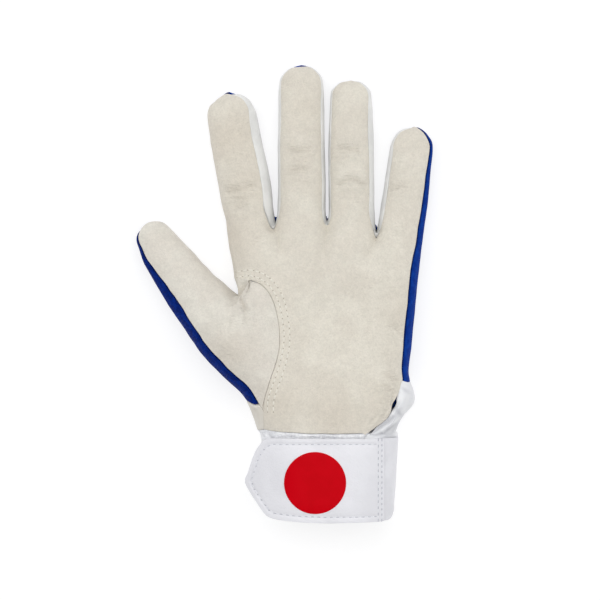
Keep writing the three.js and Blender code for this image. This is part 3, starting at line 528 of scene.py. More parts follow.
class Wire:
    """A socket of a finish; sums and products of it become Math nodes."""

    def __init__(self, finish, socket):
        self.finish = finish
        self.socket = socket

    def math(self, operation, a, b=0.0):
        return self.finish.node("ShaderNodeMath", {"operation": operation}, {0: a, 1: b})

    def __add__(self, other):
        return self.math("ADD", self, other)

    __radd__ = __add__

    def __sub__(self, other):
        return self.math("SUBTRACT", self, other)

    def __rsub__(self, other):
        return self.math("SUBTRACT", other, self)

    def __mul__(self, other):
        return self.math("MULTIPLY", self, other)

    __rmul__ = __mul__

    def __truediv__(self, other):
        return self.math("DIVIDE", self, other)

    def __abs__(self):
        return self.math("ABSOLUTE", self)

    def __mod__(self, other):
        return self.math("FLOORED_MODULO", self, other)

    def below(self, low, high):
        """1 where the value is under low, falling smoothly to 0 at high."""
        settings = {"interpolation_type": "SMOOTHSTEP"}
        sockets = {"Value": self, "From Min": low, "From Max": high, "To Min": 1.0, "To Max": 0.0}
        return self.finish.node("ShaderNodeMapRange", settings, sockets)


class Finish:
    """One material: its shader and the nodes that drive it."""

    def __init__(self, name, **constants):
        self.material = bpy.data.materials.new(name)
        self.material.use_nodes = True
        self.tree = self.material.node_tree
        self.shader = self.tree.nodes["Principled BSDF"]
        for socket, value in constants.items():
            self.shader.inputs[socket.replace("_", " ")].default_value = value

    def node(self, kind, settings, sockets, output=0):
        """A new node with its settings, and its sockets' values or links."""
        made = self.tree.nodes.new(kind)
        for setting, value in settings.items():
            setattr(made, setting, value)
        for socket, value in sockets.items():
            if isinstance(value, Wire):
                self.tree.links.new(value.socket, made.inputs[socket])
            else:
                made.inputs[socket].default_value = value
        return Wire(self, made.outputs[output])

    def feed(self, socket, wire):
        self.tree.links.new(wire.socket, self.shader.inputs[socket])

    def place(self):
        """The place on the piece, in metres."""
        return self.node("ShaderNodeTexCoord", {}, {}, "Object")

    def marked(self, name):
        """A value that the piece itself carries at each point."""
        return self.node("ShaderNodeAttribute", {"attribute_name": name}, {}, "Fac")

    def speckle(self, scale, detail=2.0, rough=0.5, at=None):
        """Soft noise with that many blotches to the metre."""
        sockets = {"Vector": at or self.place(), "Scale": scale}
        sockets.update({"Detail": detail, "Roughness": rough})
        return self.node("ShaderNodeTexNoise", {}, sockets)

    def cells(self, scale, feature="F1"):
        """How far it is to the middle of the nearest cell, with that many to the metre."""
        sockets = {"Vector": self.place(), "Scale": scale}
        return self.node("ShaderNodeTexVoronoi", {"feature": feature}, sockets)

    def blend(self, share, first, second, how="MIX"):
        """Colour that goes from first to second, web codes or sockets, with the share."""
        first, second = (paint(c) if isinstance(c, str) else c for c in (first, second))
        settings = {"data_type": "RGBA", "blend_type": how}
        return self.node("ShaderNodeMix", settings, {0: share, 6: first, 7: second}, 2)

    def relief(self, height, depth, strength=1.0, under=None):
        """Bumps of that depth in metres, on top of any coarser ones."""
        sockets = {"Height": height, "Distance": depth, "Strength": strength}
        if under:
            sockets["Normal"] = under
        return self.node("ShaderNodeBump", {}, sockets)


def paint(code):
    """A colour from its web code, as the light values that a shader takes."""
    parts = [int(code[i : i + 2], 16) / 255 for i in (0, 2, 4)]
    return (*[((c + 0.055) / 1.055) ** 2.4 if c > 0.04045 else c / 12.92 for c in parts], 1)


def suede(name, light, middle, dark, nap):
    """Brushed chamois: soft blotches of three tones under a short felted nap, with painted shade
    in its creases and in the hollows of its wrinkles.
    """
    finish = Finish(name, Sheen_Weight=0.2, Sheen_Roughness=0.6, Specular_IOR_Level=0.1)
    blotches = finish.speckle(110, detail=6.0, rough=0.62)
    warmth = finish.speckle(48, detail=3.0)
    brushed = finish.speckle(420, detail=4.0, rough=0.65)
    grain = finish.speckle(1000, detail=3.0, rough=0.7)
    fibres = finish.speckle(2600, rough=0.6)
    sideways = finish.node(
        "ShaderNodeMapping", {}, {"Vector": finish.place(), "Scale": (0.25, 1.0, 1.0)}
    )
    wrinkles = finish.speckle(560, rough=0.6, at=sideways) - 0.5
    wrinkles = wrinkles * finish.marked("joint")
    crease_shade = finish.marked("crease_shade")
    tone = finish.blend(blotches.below(0.62, 0.42), light, middle)
    tone = finish.blend(warmth.below(0.56, 0.38) * 0.5, tone, dark)
    tone = finish.blend(finish.marked("worn") * 0.6, tone, HANDLED_TONE)
    # painted shade in the creases
    tone = finish.blend(crease_shade * crease_shade * 0.35, tone, CREASE_SHADE_TONE)
    # The wrinkles also darken the colour in their hollows: painted shade.
    fleck = 0.67 + brushed * 0.24 + grain * 0.32 + fibres * 0.1 + wrinkles * 0.25
    shade = finish.node("ShaderNodeCombineColor", {}, {0: fleck, 1: fleck, 2: fleck})
    finish.feed("Base Color", finish.blend(1.0, tone, shade, "MULTIPLY"))
    finish.feed("Roughness", 0.86 + grain * 0.12)
    wrinkled = finish.relief(wrinkles, 0.0014)
    coarse = finish.relief(grain, 0.0005 * nap, 0.7, wrinkled)
    finish.feed("Normal", finish.relief(fibres, 0.00025 * nap, 0.6, coarse))
    return finish


palm_suede = suede("palm_suede", "E1DCD0", "DCD7CB", "D8D1C5", 1.0)
palm_leather = cut_panel("palm_panel", "palm_leather", 3)
thin_lining(palm_leather)
points = read_points(palm_leather)
mouth = near(points, *SLIT_MOUTH, *SLIT_MOUTH_REACH) * ramp(points[:, 2], *WRIST_TOP)
points[:, 0] -= SLIT_MOUTH_DEPTH * mouth
round_slit(points)
write_points(palm_leather, points)
shape_fingers(palm_leather, leather=True)
fill_valleys(palm_leather)
wear_in(palm_leather)
hand_over(palm_leather, "palm_panel", palm_suede)

# Thumb panel and the small gusset in the web: the same chamois, cut from a smoother and
# slightly lighter part of the skin. The panel's curved edge is sewn under the palm.
WEB_CLOSE = 0.3
WEB_STRETCH = 0.25
WEB_TOP = (22.0, 25.0)
thumb_suede = suede("thumb_suede", "E0DCD2", "DBD7CD", "D7D0C6", 0.8)
for node, name, close in (
    ("thumb_panel", "thumb_leather", SEAM_CLOSE),
    ("thumb_gusset", "thumb_web", WEB_CLOSE),
):
    piece = cut_panel(node, name, 3, close=close)
    wear_in(piece)
    if node == "thumb_gusset":
        points = read_points(piece)
        points[:, 1] += WEB_STRETCH * ramp(points[:, 1], *WEB_TOP)
        write_points(piece, points)
    hand_over(piece, node, thumb_suede)

# Fourchettes: narrow walls of smooth white leather between the fingers, sewn to the palm
# leather and to the back along both edges.
SIDE_WALLS = (
    # the fingers that it parts, and how far up from its low end its painted shade reaches
    ("index_middle", 12.0),
    ("middle_ring", 45.0),
    ("ring_little", 8.0),
)
# Colour of the painted shade: the low part of each wall, and most near its low end between the
# fingers, is darkened as shade.
SHADE_TONE = "4B4C50"
SHADE_START = 3.0
SHADE_HEIGHT = (7.0, 10.5)
SHADE_RISE = 1.5
SHADE_LEAST = 0.35
smooth_leather = Finish("smooth_leather", Specular_IOR_Level=0.35)
pores = smooth_leather.cells(1500.0)
clouds = smooth_leather.speckle(70, detail=4.0, rough=0.6)
tone = smooth_leather.blend(clouds.below(0.62, 0.4), "EBEBE9", "E1E1DF")
# The depth value marks where the wall is darkened with painted shade.
shade = smooth_leather.marked("depth") * 0.9
smooth_leather.feed("Base Color", smooth_leather.blend(shade, tone, SHADE_TONE))
smooth_leather.feed("Roughness", 0.5 + clouds * 0.2)
smooth_leather.feed("Normal", smooth_leather.relief(pores, 0.00018, 0.5))
for gap, shaded in SIDE_WALLS:
    piece = cut_panel("fourchette_" + gap, "side_wall_" + gap)
    shape_fingers(piece)
    points = read_points(piece)
    from_end = points[:, 1] - min(points[:, 1]) - SHADE_START
    near_end = soft(np.maximum(from_end, 0), shaded)
    low, high = (height + SHADE_RISE * near_end for height in SHADE_HEIGHT)
    depth = 1 - ramp(points[:, 2], low, high)
    mark(piece, "depth", depth * (SHADE_LEAST + (1 - SHADE_LEAST) * near_end))
    wear_in(piece)
    hand_over(piece, "fourchette_" + gap, smooth_leather)

# Back of the hand and of the thumb: blue stretch knit with a satin face. It comes round the
# little-finger side and the outer side of the thumb, where the palm leather is sewn to it.
RIB = 1.3  # from rib to rib
COURSE = 0.0009  # from one row of loops to the next, in metres
SEAM_SHADE = (0.3, 1.7)  # how far from the seam its painted shade fades
SEAM_SHADE_TONE = "04103C"
TIP_PEEPS = (
    # x, y, reach along x, how far the back shows past the edge
    (-51.5, 125.0, 7.5, 1.3),
    (-13.3, 139.6, 9.0, 1.0),
    (-26.0, 59.0, 1.8, 3.2),
    (0.6, 60.2, 1.8, 3.4),
    (26.8, 53.6, 1.8, 3.2),
)
TIP_PEEP_REACH = 3.0
SIDE_PEEPS = (
    # the low and the high end of a finger's right side, how far the back shows beside it
    ((-26.2, 59.0), (-31.2, 83.0), 2.0),
    ((0.6, 60.0), (-1.0, 112.0), 1.7),
    ((26.8, 53.0), (26.0, 78.0), 1.4),
)
SIDE_PEEP_START = (-0.03, 0.05)  # as shares of the way from the low to the high end
SIDE_PEEP_END = (0.75, 1.0)
SIDE_PEEP_REACH = 2.6
BAND_END = (-37.4, -38.6)
BAND_REACH = (2.4, 2.6)
BAND_DRAWN = 1.9
TUCK = (-47.0, 20.0, 3.5, 1.8)  # x, y, reach, and how far the knit moves right and down
TUCK_HEIGHT = (5.0, 9.0)
THUMB_TIP = (-96.0, 55.0, 4.0, 1.0, -0.6)  # x, y, reach, and the move right and up


def surface_of(*pieces):
    """Trees that find the skin of finished pieces."""
    graph = bpy.context.evaluated_depsgraph_get()
    return [BVHTree.FromObject(piece, graph) for piece in pieces]


def stretch_end(points):
    """The blue band's end, drawn out along the wrist seam."""
    points[:, 1] -= BAND_DRAWN * near(points, *BAND_END, *BAND_REACH)


def stretch_knit(name, face, furrow, streak_face):
    """Ribbed stretch knit: bright rib faces, darker furrows, lighter streaks, and painted shade
    beside the seam.
    """
    knit = Finish(name, Specular_IOR_Level=0.015)
    parts = knit.node("ShaderNodeSeparateXYZ", {}, {0: knit.place()})
    along = Wire(knit, parts.socket.node.outputs[1])
    upward = Wire(knit, parts.socket.node.outputs[2])
    ribs = abs(knit.marked("rib") % 1.0 - 0.5) * 2.0
    course = abs(((along + upward * 0.3) / COURSE) % 1.0 - 0.5) * 2.0
    loops = ribs * 0.8 + course * 0.2
    streaks = knit.speckle(320, detail=4.0, rough=0.65)
    tone = knit.blend(loops.below(0.7, 0.25), face, furrow)
    # lighter streaks over the satin face
    tone = knit.blend(streaks.below(0.6, 0.4) * 0.5, tone, streak_face)
    shade = knit.marked("off_seam").below(*SEAM_SHADE)
    knit.feed("Base Color", knit.blend(shade * 0.75, tone, SEAM_SHADE_TONE))
    knit.feed("Roughness", 0.5 + streaks * 0.2)
    knit.feed("Normal", knit.relief(loops, 0.00015, 0.8))
    return knit


hand_fabric = stretch_knit("hand_knit", "0B3A9C", "051F66", "1247A6")
# The thumb's knit is a darker copy of the hand's: painted shade for the thumb's outer side, which
# faces away from the light.
shaded_thumb_fabric = stretch_knit("thumb_knit", "032783", "01103F", "083290")
palm_side = surface_of(*(bpy.data.objects[name] for name in ("palm_leather", "thumb_leather")))
for node, name, across, knit in (
    # the solid, its name, the way across its ribs from above, and its fabric
    ("back_panel", "back_knit", (1.0, 0.0), hand_fabric),
    ("thumb_back", "thumb_knit", (-0.8, -0.6), shaded_thumb_fabric),
):
    piece = cut_panel(node, name)
    shape_fingers(piece)
    wear_in(piece)
    points = read_points(piece)
    for x, y, reach, shows in TIP_PEEPS:
        points[:, 1] += shows * near(points, x, y, reach, TIP_PEEP_REACH)
    for low_end, high_end, shows in SIDE_PEEPS:
        share = (points[:, 1] - low_end[1]) / (high_end[1] - low_end[1])
        side = low_end[0] + share * (high_end[0] - low_end[0])
        ends = ramp(share, *SIDE_PEEP_START) * (1 - ramp(share, *SIDE_PEEP_END))
        points[:, 0] += shows * ends * soft(points[:, 0] - side, SIDE_PEEP_REACH)
    if node == "thumb_back":
        stretch_end(points)
        x, y, reach, tucked = TUCK
        under = near(points, x, y, reach) * (1 - ramp(points[:, 2], *TUCK_HEIGHT))
        points[:, 0] += tucked * under
        points[:, 1] -= tucked * under
        x, y, reach, right, up = THUMB_TIP
        tip = near(points, x, y, reach)
        points[:, 0] += right * tip
        points[:, 1] += up * tip
    write_points(piece, points)
    mark(piece, "rib", (points @ np.array([*across, -1.0])) / RIB)
    seam = [min(tree.find_nearest(Vector(p * MM))[3] for tree in palm_side) / MM for p in points]
    mark(piece, "off_seam", seam)
    hand_over(piece, node, knit)

# Wrist piece on the thumb side: cream grain leather in line with the thumb seam. It is sewn
# to the blue knit of the thumb, to the palm leather and to the cuff below.
cream_leather = Finish("cream_leather", Specular_IOR_Level=0.3)
clouds = cream_leather.speckle(90, detail=4.0, rough=0.6)
pores = cream_leather.speckle(1300, detail=3.0, rough=0.6)
tone = cream_leather.blend(clouds.below(0.62, 0.4), "DFDBD2", "D7D2C8")
cream_leather.feed("Base Color", tone)
cream_leather.feed("Roughness", 0.66 + clouds * 0.15)
cream_leather.feed("Normal", cream_leather.relief(pores, 0.0002, 0.6))
piece = cut_panel("wrist_side", "wrist_leather")
points = read_points(piece)
stretch_end(points)
write_points(piece, points)
wear_in(piece)
hand_over(piece, "wrist_side", cream_leather)

# Cuff and slit flap: soft white coated leather, gathered a little above the strap. The flap
# is the turned-back edge of the wrist slit on the little-finger side.
CUFF_CREASES = (
    # x1, y1, x2, y2, half width, depth
    (-30, -54.6, -26, -57.5, 0.9, 0.3),
    (-18, -54.6, -16, -58.0, 1.0, 0.25),
    (-2, -55.0, 1, -58.0, 1.0, 0.25),
    (9, -55.0, 8, -58.0, 0.9, 0.25),
    # These follow the palm's hem and the strap's top edge: grooves darkened as the painted shadow
    # that the hem and the strap cast
    (-32.0, -51.9, -14.0, -53.0, 0.55, 0.35),
    (-14.0, -53.2, 6.0, -53.8, 0.6, 0.4),
    (5.0, -53.8, 21.0, -53.7, 0.6, 0.35),
    (-25.0, -55.7, -2.0, -56.0, 0.5, 0.3),
    (-1.0, -56.0, 19.0, -56.0, 0.5, 0.3),
)
FLAP_CREASES = (
    (24.0, -53.5, 37.0, -44.0, 1.1, 0.6),
    (31.0, -52.8, 38.5, -48.5, 1.0, 0.5),
    (25.0, -54.8, 33.0, -52.6, 0.8, 0.4),
    (36.5, -40.5, 40.5, -45.5, 1.3, 0.5),
    (39.0, -47.5, 35.0, -54.0, 1.0, 0.4),
    (40.0, -30.0, 44.0, -33.0, 0.9, 0.3),
)
CRUMPLE = 430
CRUMPLE_TONE = "CDCED5"
# Colour of the painted shade in the coated leather's creases
COATED_CREASE_SHADE_TONE = "9A9BA3"
SLIT = [(40.7, -27.2), (38.6, -32.0), (35.8, -38.5), (30.0, -47.0), (21.8, -53.2)]
FOOT_X = 19.5
FOOT_REACH = 5.0
FOOT_SLANT = 1.6
FOOT_START = (-60.0, -57.0)
FOOT_UPPER = (-57.0, -53.0)
# The flap's raised lip beside the slit, and the fullness of its outer side
LIP_RISE = 2.6
LIP_AWAY = 4.2
LIP_REACH = 2.8
LIP_START = (-53.0, -44.0)
FULLNESS = 0.7
FULL_X = (42.0, 46.0)
FULL_Y = -38.0
FULL_REACH = 8.0
# Where the slit gapes: most at its mouth, and a little all along it
GAPE_Y = -38.4
GAPE_REACH = (2.4, 1.8)
GAPE_MOVE = (1.6, -0.8)
SLIT_REACH = 1.6
SLIT_START = (29.0, 34.0)
SLIT_LOWER = (-52.0, -46.0)
SLIT_LEAST = 0.1
SLIT_MOVE = (0.4, -0.3)


def coated(name, light, dark, grain_depth, crumple_depth=0.0001, mottled=0.0):
    """White coated leather: a satin skin with a fine pressed grain, crumpled a little, with
    painted shade in its creases.
    """
    finish = Finish(name, Specular_IOR_Level=0.45)
    grain = finish.cells(1250.0, "SMOOTH_F1")
    drift = finish.speckle(60, detail=3.0)
    crumple = finish.speckle(CRUMPLE, detail=3.0, rough=0.6)
    tone = finish.blend(drift.below(0.62, 0.4), light, dark)
    tone = finish.blend(crumple.below(0.56, 0.4) * mottled, tone, CRUMPLE_TONE)
    tone = finish.blend(finish.marked("crease_shade") * 0.8, tone, COATED_CREASE_SHADE_TONE)
    finish.feed("Base Color", tone)
    finish.feed("Roughness", 0.4 + drift * 0.18)
    crumpled = finish.relief(crumple, crumple_depth, 0.8)
    finish.feed("Normal", finish.relief(grain, grain_depth, 0.5, crumpled))
    return finish


def away_from(points, path, closed=True):
    """Distance in mm from each point, seen from above, to a path."""
    best = np.full(len(points), np.inf)
    for first, second in zip(path, path[1:] + path[:1] if closed else path[1:]):
        a, b = np.array(first), np.array(second)
        share = ((points[:, :2] - a) @ (b - a)) / ((b - a) @ (b - a))
        nearest = a + np.clip(share, 0, 1)[:, None] * (b - a)
        best = np.minimum(best, np.hypot(*(points[:, :2] - nearest).T))
    return best


def lean_foot(points):
    """Slants the seam where the slit's foot meets the cuff strip."""
    share = soft(points[:, 0] - FOOT_X, FOOT_REACH) * ramp(points[:, 1], *FOOT_START)
    points[:, 0] += share * (FOOT_SLANT + FOOT_SLANT * ramp(points[:, 1], *FOOT_UPPER))


# The cuff's copy of the coated leather is painted lighter than the strap's, against the shade that
# the strap and the palm's hem cast on it.
lightened_cuff_white = coated("lightened_cuff_white", "FAFBFD", "F6F7FA", 0.0003, 0.002, 0.3)
piece = cut_panel("cuff", "cuff_leather", 3)
points = read_points(piece)
lean_foot(points)
write_points(piece, points)
wear_in(piece, CUFF_CREASES)
hand_over(piece, "cuff", lightened_cuff_white)

flap_white = coated("flap_white", "E9EAEC", "E2E3E7", 0.0002, 0.0005)
flap = cut_panel("slit_flap", "flap_leather", 3, rounds=0)
points = read_points(flap)
x, y, z = points.T.copy()
edge = away_from(points, SLIT, closed=False)
on_top = ramp(z, *WRIST_TOP)
points[:, 2] += on_top * ramp(y, *LIP_START) * LIP_RISE * soft(edge - LIP_AWAY, LIP_REACH)
points[:, 0] += FULLNESS * ramp(x, *FULL_X) * soft(y - FULL_Y, FULL_REACH)
gape = soft(y - GAPE_Y, GAPE_REACH[0]) * soft(edge, GAPE_REACH[1]) * on_top
gap = soft(edge, SLIT_REACH) * on_top * ramp(-y, *SLIT_START)
gap *= SLIT_LEAST + (1 - SLIT_LEAST) * ramp(y, *SLIT_LOWER)
points[:, 0] += GAPE_MOVE[0] * gape + SLIT_MOVE[0] * gap
points[:, 1] += SLIT_MOVE[1] * gap
points[:, 2] += GAPE_MOVE[1] * gape
lean_foot(points)
round_slit(points)
write_points(flap, points)
wear_in(flap, FLAP_CREASES)
hand_over(flap, "slit_flap", flap_white)

# Wrist strap: two layers of coated leather, sewn together 3 mm in from the edge all round,
# with a pointed tab on the thumb side. Its root goes round the little-finger side to the
# underside of the cuff, where it is sewn down.
STRAP_INSET = 3.0
STRAP_SEAM_DEPTH = 0.55
STRAP_SEAM_REACH = 0.7
STRAP_SEAM_END = (26.0, 27.5)
STRAP_PUFF = 0.5
PUFF_WIDTH = 6.0
PUFF_END = (20.0, 27.0)
UPPER_TURN = (0.0, 0.6)  # how far up the strap's upper side looks
STRAP_OUTLINE = (
    # x, y, from the root round the pointed tab and back
    (31.2, -56.2),
    (-27.6, -56.2),
    (-31.0, -56.9),
    (-33.2, -58.3),
    (-35.4, -61.3),
    (-37.8, -65.8),
    (-40.4, -73.8),
    (-42.1, -78.8),
    (-40.4, -83.4),
    (-35.4, -91.0),
    (-31.0, -96.6),
    (-27.6, -98.1),
    (-15.0, -99.5),
    (2.0, -100.1),
    (31.2, -99.5),
)
JOIN_ROWS = (27.5, 29.4)
JOIN_SHARE = 0.8  # how deep the joining rows are, as a share of the edge seam
JOIN_REACH = 0.45
ROOT_CLOSE = 0.12
ROOT_CORNER = (31.6, -95.0)
CORNER_ROUNDING = 4.4
strap_white = coated("strap_white", "E6E6EB", "E1E1E6", 0.00025, 0.0002)
strap = cut_panel("wrist_strap", "wrist_strap_leather", 3, rounds=0, close=0)
points = read_points(strap)
edge = away_from(points, list(STRAP_OUTLINE))
seam = soft(edge - STRAP_INSET, STRAP_SEAM_REACH)
seam *= 1 - ramp(points[:, 0], *STRAP_SEAM_END)
for row in JOIN_ROWS:
    seam = np.maximum(seam, JOIN_SHARE * soft(points[:, 0] - row, JOIN_REACH))
puff = ramp(edge, STRAP_INSET, STRAP_INSET + PUFF_WIDTH)
puff *= 1 - ramp(points[:, 0], *PUFF_END)
upper = ramp(facing_up(strap), *UPPER_TURN)
points[:, 2] += upper * (STRAP_PUFF * puff - STRAP_SEAM_DEPTH * seam)
write_points(strap, points)
hand_over(strap, "wrist_strap", strap_white)

root_white = coated("root_white", "E6E6EB", "DFDFE4", 0.00025, 0.0005)
root = cut_panel("strap_root", "strap_root_leather", rounds=0, close=ROOT_CLOSE)
points = read_points(root)
beyond = np.maximum((points[:, :2] - ROOT_CORNER) * (1, -1), 0)
reach = np.maximum(np.hypot(*beyond.T), TINY)
in_corner = (beyond.min(axis=1) > 0) & (reach > CORNER_ROUNDING)
shrink = np.where(in_corner, CORNER_ROUNDING / reach, 1.0)[:, None]
points[:, :2] += beyond * (1, -1) * (shrink - 1)
write_points(root, points)
hand_over(root, "strap_root", root_white)

# Stitches: white thread pulled down into the leather, with a needle hole at each end. One
# stitch is modelled as a small rounded bar with sunk ends, and copied along each row.
STRAP_SEWING = (0.5, 0.95, 0.34)  # width of the thread, half length and width of a hole
STRAP_STITCH = 3.3
JOIN_STITCHES = (3.2, 2.8)
STRAP_ROW = (
    # x, y, from the root round the pointed tab and back
    (26.0, -59.2),
    (-27.2, -59.2),
    (-30.4, -60.4),
    (-33.0, -63.4),
    (-35.2, -67.6),
    (-37.6, -74.8),
    (-38.9, -78.8),
    (-37.8, -82.0),
    (-35.3, -85.8),
    (-30.6, -92.4),
    (-28.8, -94.4),
    (-26.6, -95.3),
    (-15.0, -96.5),
    (2.0, -97.1),
    (26.0, -96.7),
)
JOIN_ENDS = (-56.9, -98.8)
THREAD_SIDES = 8
STITCH_SHARE = 0.68  # how much of each step the thread covers
STITCH_BEND = 0.25
STITCH_DIVE = 0.55
STITCH_TAPER = 0.25
HOLE_DEPTH = 0.4
HOLE_MIDDLE = -0.14
HOLE_EDGE = 0.05
ABOVE_ALL = 0.2  # in metres


def skin_at(trees, x, y):
    """The skin's highest point over a place in mm, and which way it faces there."""
    best = None
    for tree in trees:
        start = Vector((x * MM, y * MM, ABOVE_ALL))
        hit, normal, _, _ = tree.ray_cast(start, Vector((0, 0, -1)))
        if hit and (best is None or hit.z > best[0].z):
            best = (hit, normal)
    return best


def even_steps(path, pitch):
    """Points a stitch apart along a path."""
    path = [Vector(point) for point in path]
    lengths = [(b - a).length for a, b in zip(path, path[1:])]
    count = max(1, round(sum(lengths) / pitch))
    step = sum(lengths) / count
    made, walked, leg = [], 0.0, 0
    for i in range(count + 1):
        target = min(i * step, sum(lengths) - TINY)
        while walked + lengths[leg] < target:
            walked += lengths[leg]
            leg += 1
        made.append(path[leg].lerp(path[leg + 1], (target - walked) / lengths[leg]))
    return made


def cut_across(axis, place):
    """Cuts the mesh that is being edited square to an axis, at a place along it in mm."""
    bpy.ops.mesh.select_all(action="SELECT")
    bpy.ops.mesh.bisect(plane_co=[place * MM * part for part in axis], plane_no=axis)


def one_stitch(length, thick):
    """A rounded bar of thread along X whose ends dive into the leather."""
    bpy.ops.object.select_all(action="DESELECT")
    bpy.ops.mesh.primitive_cylinder_add(
        vertices=THREAD_SIDES,
        radius=thick / 2 * MM,
        depth=length * MM,
        rotation=(0, math.pi / 2, 0),
    )
    bar = bpy.context.object
    bpy.ops.object.transform_apply()
    bpy.ops.object.mode_set(mode="EDIT")
    cut_across((1, 0, 0), -length * STITCH_BEND)
    cut_across((1, 0, 0), length * STITCH_BEND)
    bpy.ops.object.mode_set(mode="OBJECT")
    points = read_points(bar)
    out = np.abs(points[:, 0]) / (length / 2)
    points[:, 2] -= thick * STITCH_DIVE * out**3
    points[:, 1:] *= (1 - STITCH_TAPER * out**4)[:, None]
    write_points(bar, points)
    return bar


def one_hole(length, width):
    """A needle hole: a small oval spot of painted shade, sunk in the leather but for its top."""
    bpy.ops.object.select_all(action="DESELECT")
    bpy.ops.mesh.primitive_cylinder_add(
        vertices=THREAD_SIDES, radius=MM, depth=HOLE_DEPTH * MM, location=(0, 0, HOLE_MIDDLE * MM)
    )
    hole = bpy.context.object
    hole.scale = (length, width, 1)
    bpy.ops.object.transform_apply()
    bpy.ops.object.mode_set(mode="EDIT")
    bpy.ops.mesh.select_all(action="SELECT")
    bpy.ops.mesh.bevel(offset=HOLE_EDGE * MM, segments=1)
    bpy.ops.object.mode_set(mode="OBJECT")
    return hole


def sew(name, rows, pitch, cover, thread, hole, sizes):
    """Copies of one stitch and its needle holes along rows on the skin, as one piece."""
    trees = surface_of(cover)
    shapes = []
    thick, *hole_size = sizes
    for part in (one_stitch(pitch * STITCH_SHARE, thick), one_hole(*hole_size)):
        shapes.append((read_points(part), [list(face.vertices) for face in part.data.polygons]))
        bpy.data.objects.remove(part)
    points, all_faces, materials = [], [], []
    count = 0
    for row in rows:
        places = [((first + second) / 2, second - first, 0) for first, second in zip(row, row[1:])]
        places += [(point, row[1] - row[0], 1) for point in row]
        for place, run, kind in places:
            found = skin_at(trees, place.x, place.y)
            if not found:
                continue
            hit, normal = found
            forward = Vector((run.x, run.y, 0))
            forward = (forward - normal * forward.dot(normal)).normalized()
            side = normal.cross(forward)
            base, faces = shapes[kind]
            points.append(base @ np.array([forward, side, normal]) + np.array(hit) / MM)
            all_faces.extend([[i + count for i in face] for face in faces])
            materials.extend([kind] * len(faces))
            count += len(base)
    mesh = bpy.data.meshes.new(name)
    mesh.from_pydata((np.concatenate(points) * MM).tolist(), [], all_faces)
    mesh.materials.append(thread.material)
    mesh.materials.append(hole.material)
    mesh.polygons.foreach_set("material_index", materials)
    sewn = bpy.data.objects.new(name, mesh)
    bpy.context.scene.collection.objects.link(sewn)
    only(sewn)
    bpy.ops.object.shade_smooth_by_angle(angle=SOFT_SHADE)
    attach(sewn, "root")


def hole_shade(name, dark, rim):
    """Painted shade inside a needle hole: matt, a little uneven like the leather round it."""
    finish = Finish(name, Specular_IOR_Level=0.0)
    uneven = finish.speckle(900, rough=0.6)
    finish.feed("Base Color", finish.blend(uneven.below(0.7, 0.3), rim, dark))
    finish.feed("Roughness", 0.8 + uneven * 0.2)
    return finish


def twisted(name, light, dark, shine, rough):
    """Thread of a few strands: fine slanting bands in two tones."""
    finish = Finish(name, Specular_IOR_Level=shine)
    twist = finish.node(
        "ShaderNodeTexWave",
        {"wave_type": "BANDS", "bands_direction": "DIAGONAL"},
        {"Vector": finish.place(), "Scale": 900.0, "Distortion": 0.6},
    )
    finish.feed("Base Color", finish.blend(twist.below(0.6, 0.2), light, dark))
    finish.feed("Roughness", rough + twist * 0.2)
    return finish


white_thread = twisted("white_thread", "F1F2F5", "D9DBE2", 0.4, 0.5)
strap_rows = [even_steps(STRAP_ROW, STRAP_STITCH)]
for x, pitch in zip(JOIN_ROWS, JOIN_STITCHES):
    strap_rows.append(even_steps(((x, JOIN_ENDS[0]), (x, JOIN_ENDS[1])), pitch))
strap_hole = hole_shade("strap_needle_hole", "B6B7C0", "C6C7CE")
sew(
    "strap_stitching",
    strap_rows,
    STRAP_STITCH,
    strap,
    white_thread,
    strap_hole,
    STRAP_SEWING,
)

# Double row of cream stitches that holds the thumb panel under the palm leather. It runs on
# the palm beside the curved seam, and its needle holes are small round spots of painted shade.
THUMB_SEAM = (
    # x, y, from the web down to the wrist
    (-46.0, 25.3),
    (-42.6, 25.9),
    (-39.4, 26.2),
    (-35.0, 24.8),
    (-31.4, 22.1),
    (-28.5, 18.0),
    (-26.6, 13.8),
    (-25.2, 7.8),
    (-24.0, -1.2),
    (-24.2, -7.5),
    (-25.5, -14.5),
    (-27.8, -22.2),
    (-30.1, -28.5),
    (-32.4, -36.4),
    (-32.5, -42.6),
)
PALM_STITCH = 3.15
PALM_ROWS = (2.4, 5.4)
CURVE_STEPS = 6
PALM_SEWING = (0.74, 0.33, 0.33)


def beside(path, distance):
    """A smooth path that runs a distance to the left of a rough one."""
    rough = [Vector(point) for point in path]
    fine = []
    for i in range(len(rough) - 1):
        before = rough[max(i - 1, 0)]
        after = rough[min(i + 2, len(rough) - 1)]
        a, b = rough[i], rough[i + 1]
        for step in range(CURVE_STEPS):
            t = step / CURVE_STEPS
            ahead = (b - before) / 2
            beyond = (after - a) / 2
            fine.append(
                a * (2 * t**3 - 3 * t**2 + 1)
                + ahead * (t**3 - 2 * t**2 + t)
                + b * (3 * t**2 - 2 * t**3)
                + beyond * (t**3 - t**2)
            )
    fine.append(rough[-1])
    moved = []
    for i, point in enumerate(fine):
        run = fine[min(i + 1, len(fine) - 1)] - fine[max(i - 1, 0)]
        moved.append(point + Vector((-run.y, run.x)).normalized() * distance)
    return moved


cream_thread = twisted("cream_thread", "F1EEE5", "DFDBD0", 0.3, 0.6)
palm_rows = [even_steps(beside(THUMB_SEAM, distance), PALM_STITCH) for distance in PALM_ROWS]
palm_hole = hole_shade("palm_needle_hole", "A59C8E", "B8AFA1")
sew(
    "palm_stitching",
    palm_rows,
    PALM_STITCH,
    palm_leather,
    cream_thread,
    palm_hole,
    PALM_SEWING,
)

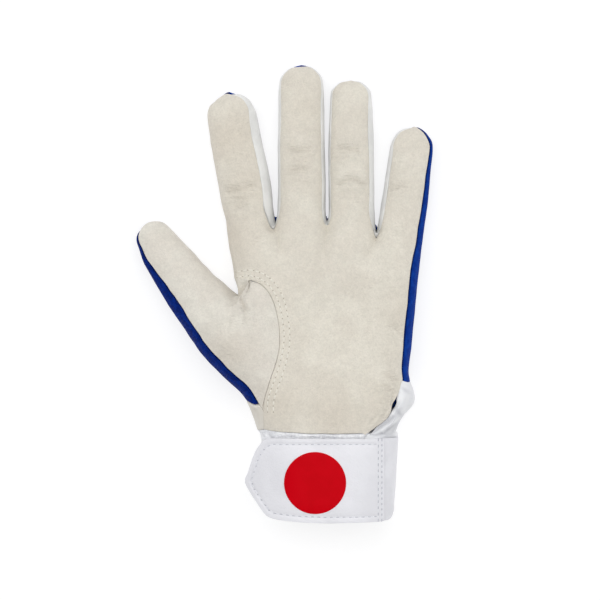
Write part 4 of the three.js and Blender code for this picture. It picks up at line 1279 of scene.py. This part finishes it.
# Touch tape under the strap: a grey-white pile of small loops that holds the strap shut. It
# lies flat between the cuff and the strap, and none of it shows while the strap is closed.
pile = Finish("loop_pile", Sheen_Weight=0.4, Sheen_Roughness=0.5, Specular_IOR_Level=0.1)
tufts = pile.cells(1100.0)
pile.feed("Base Color", pile.blend(tufts.below(0.2, 0.6), "B9BABF", "ECECEE"))
pile.feed("Roughness", 0.85 + tufts * 0.1)
pile.feed("Normal", pile.relief(1.0 - tufts, 0.0006, 0.9))
pad = cut_panel("strap_pad", "touch_tape_pad", rounds=0, close=0)
hand_over(pad, "strap_pad", pile)

# Badge: a plain round patch of red rubbery print, a third of a millimetre thick. It is fused
# to the strap and follows its upper side, and its edge is a little rounded.
BADGE_CENTRE = (-5.4, -79.1)
BADGE_RADIUS = 16.1
BADGE_HEIGHT = 0.3
BADGE_SUNK = 0.15
BADGE_EDGE = 0.2
BADGE_SIDES = 96
BADGE_GRID = range(-15, 16, 2)  # cuts that let the patch follow the strap
BADGE_SHARP = math.radians(60)
bpy.ops.object.select_all(action="DESELECT")
bpy.ops.mesh.primitive_circle_add(
    vertices=BADGE_SIDES,
    radius=BADGE_RADIUS * MM,
    fill_type="TRIFAN",
    location=(BADGE_CENTRE[0] * MM, BADGE_CENTRE[1] * MM, 0),
)
badge = bpy.context.object
badge.name = "badge_print"
bpy.ops.object.transform_apply()
bpy.ops.object.mode_set(mode="EDIT")
for off_centre in BADGE_GRID:
    cut_across((0, 1, 0), BADGE_CENTRE[1] + off_centre)
    cut_across((1, 0, 0), BADGE_CENTRE[0] + off_centre)
bpy.ops.object.mode_set(mode="OBJECT")
trees = surface_of(strap)
points = read_points(badge)
for point in points:
    point[2] = skin_at(trees, point[0], point[1])[0].z / MM - BADGE_SUNK
write_points(badge, points)
apply_modifier(badge, "SOLIDIFY", thickness=(BADGE_HEIGHT + BADGE_SUNK) * MM, offset=1)
apply_modifier(badge, "BEVEL", width=BADGE_EDGE * MM, segments=3, angle_limit=BADGE_SHARP)
red_print = Finish("red_print", Specular_IOR_Level=0.03)
drift = red_print.speckle(120, detail=3.0)
skin = red_print.speckle(1500, rough=0.6)
tone = red_print.blend(drift.below(0.62, 0.4), "C70011", "C3000F")
red_print.feed("Base Color", tone)
red_print.feed("Roughness", 0.34 + drift * 0.12)
red_print.feed("Normal", red_print.relief(skin, 0.00006, 0.4))
hand_over(badge, "badge", red_print)

low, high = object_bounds()
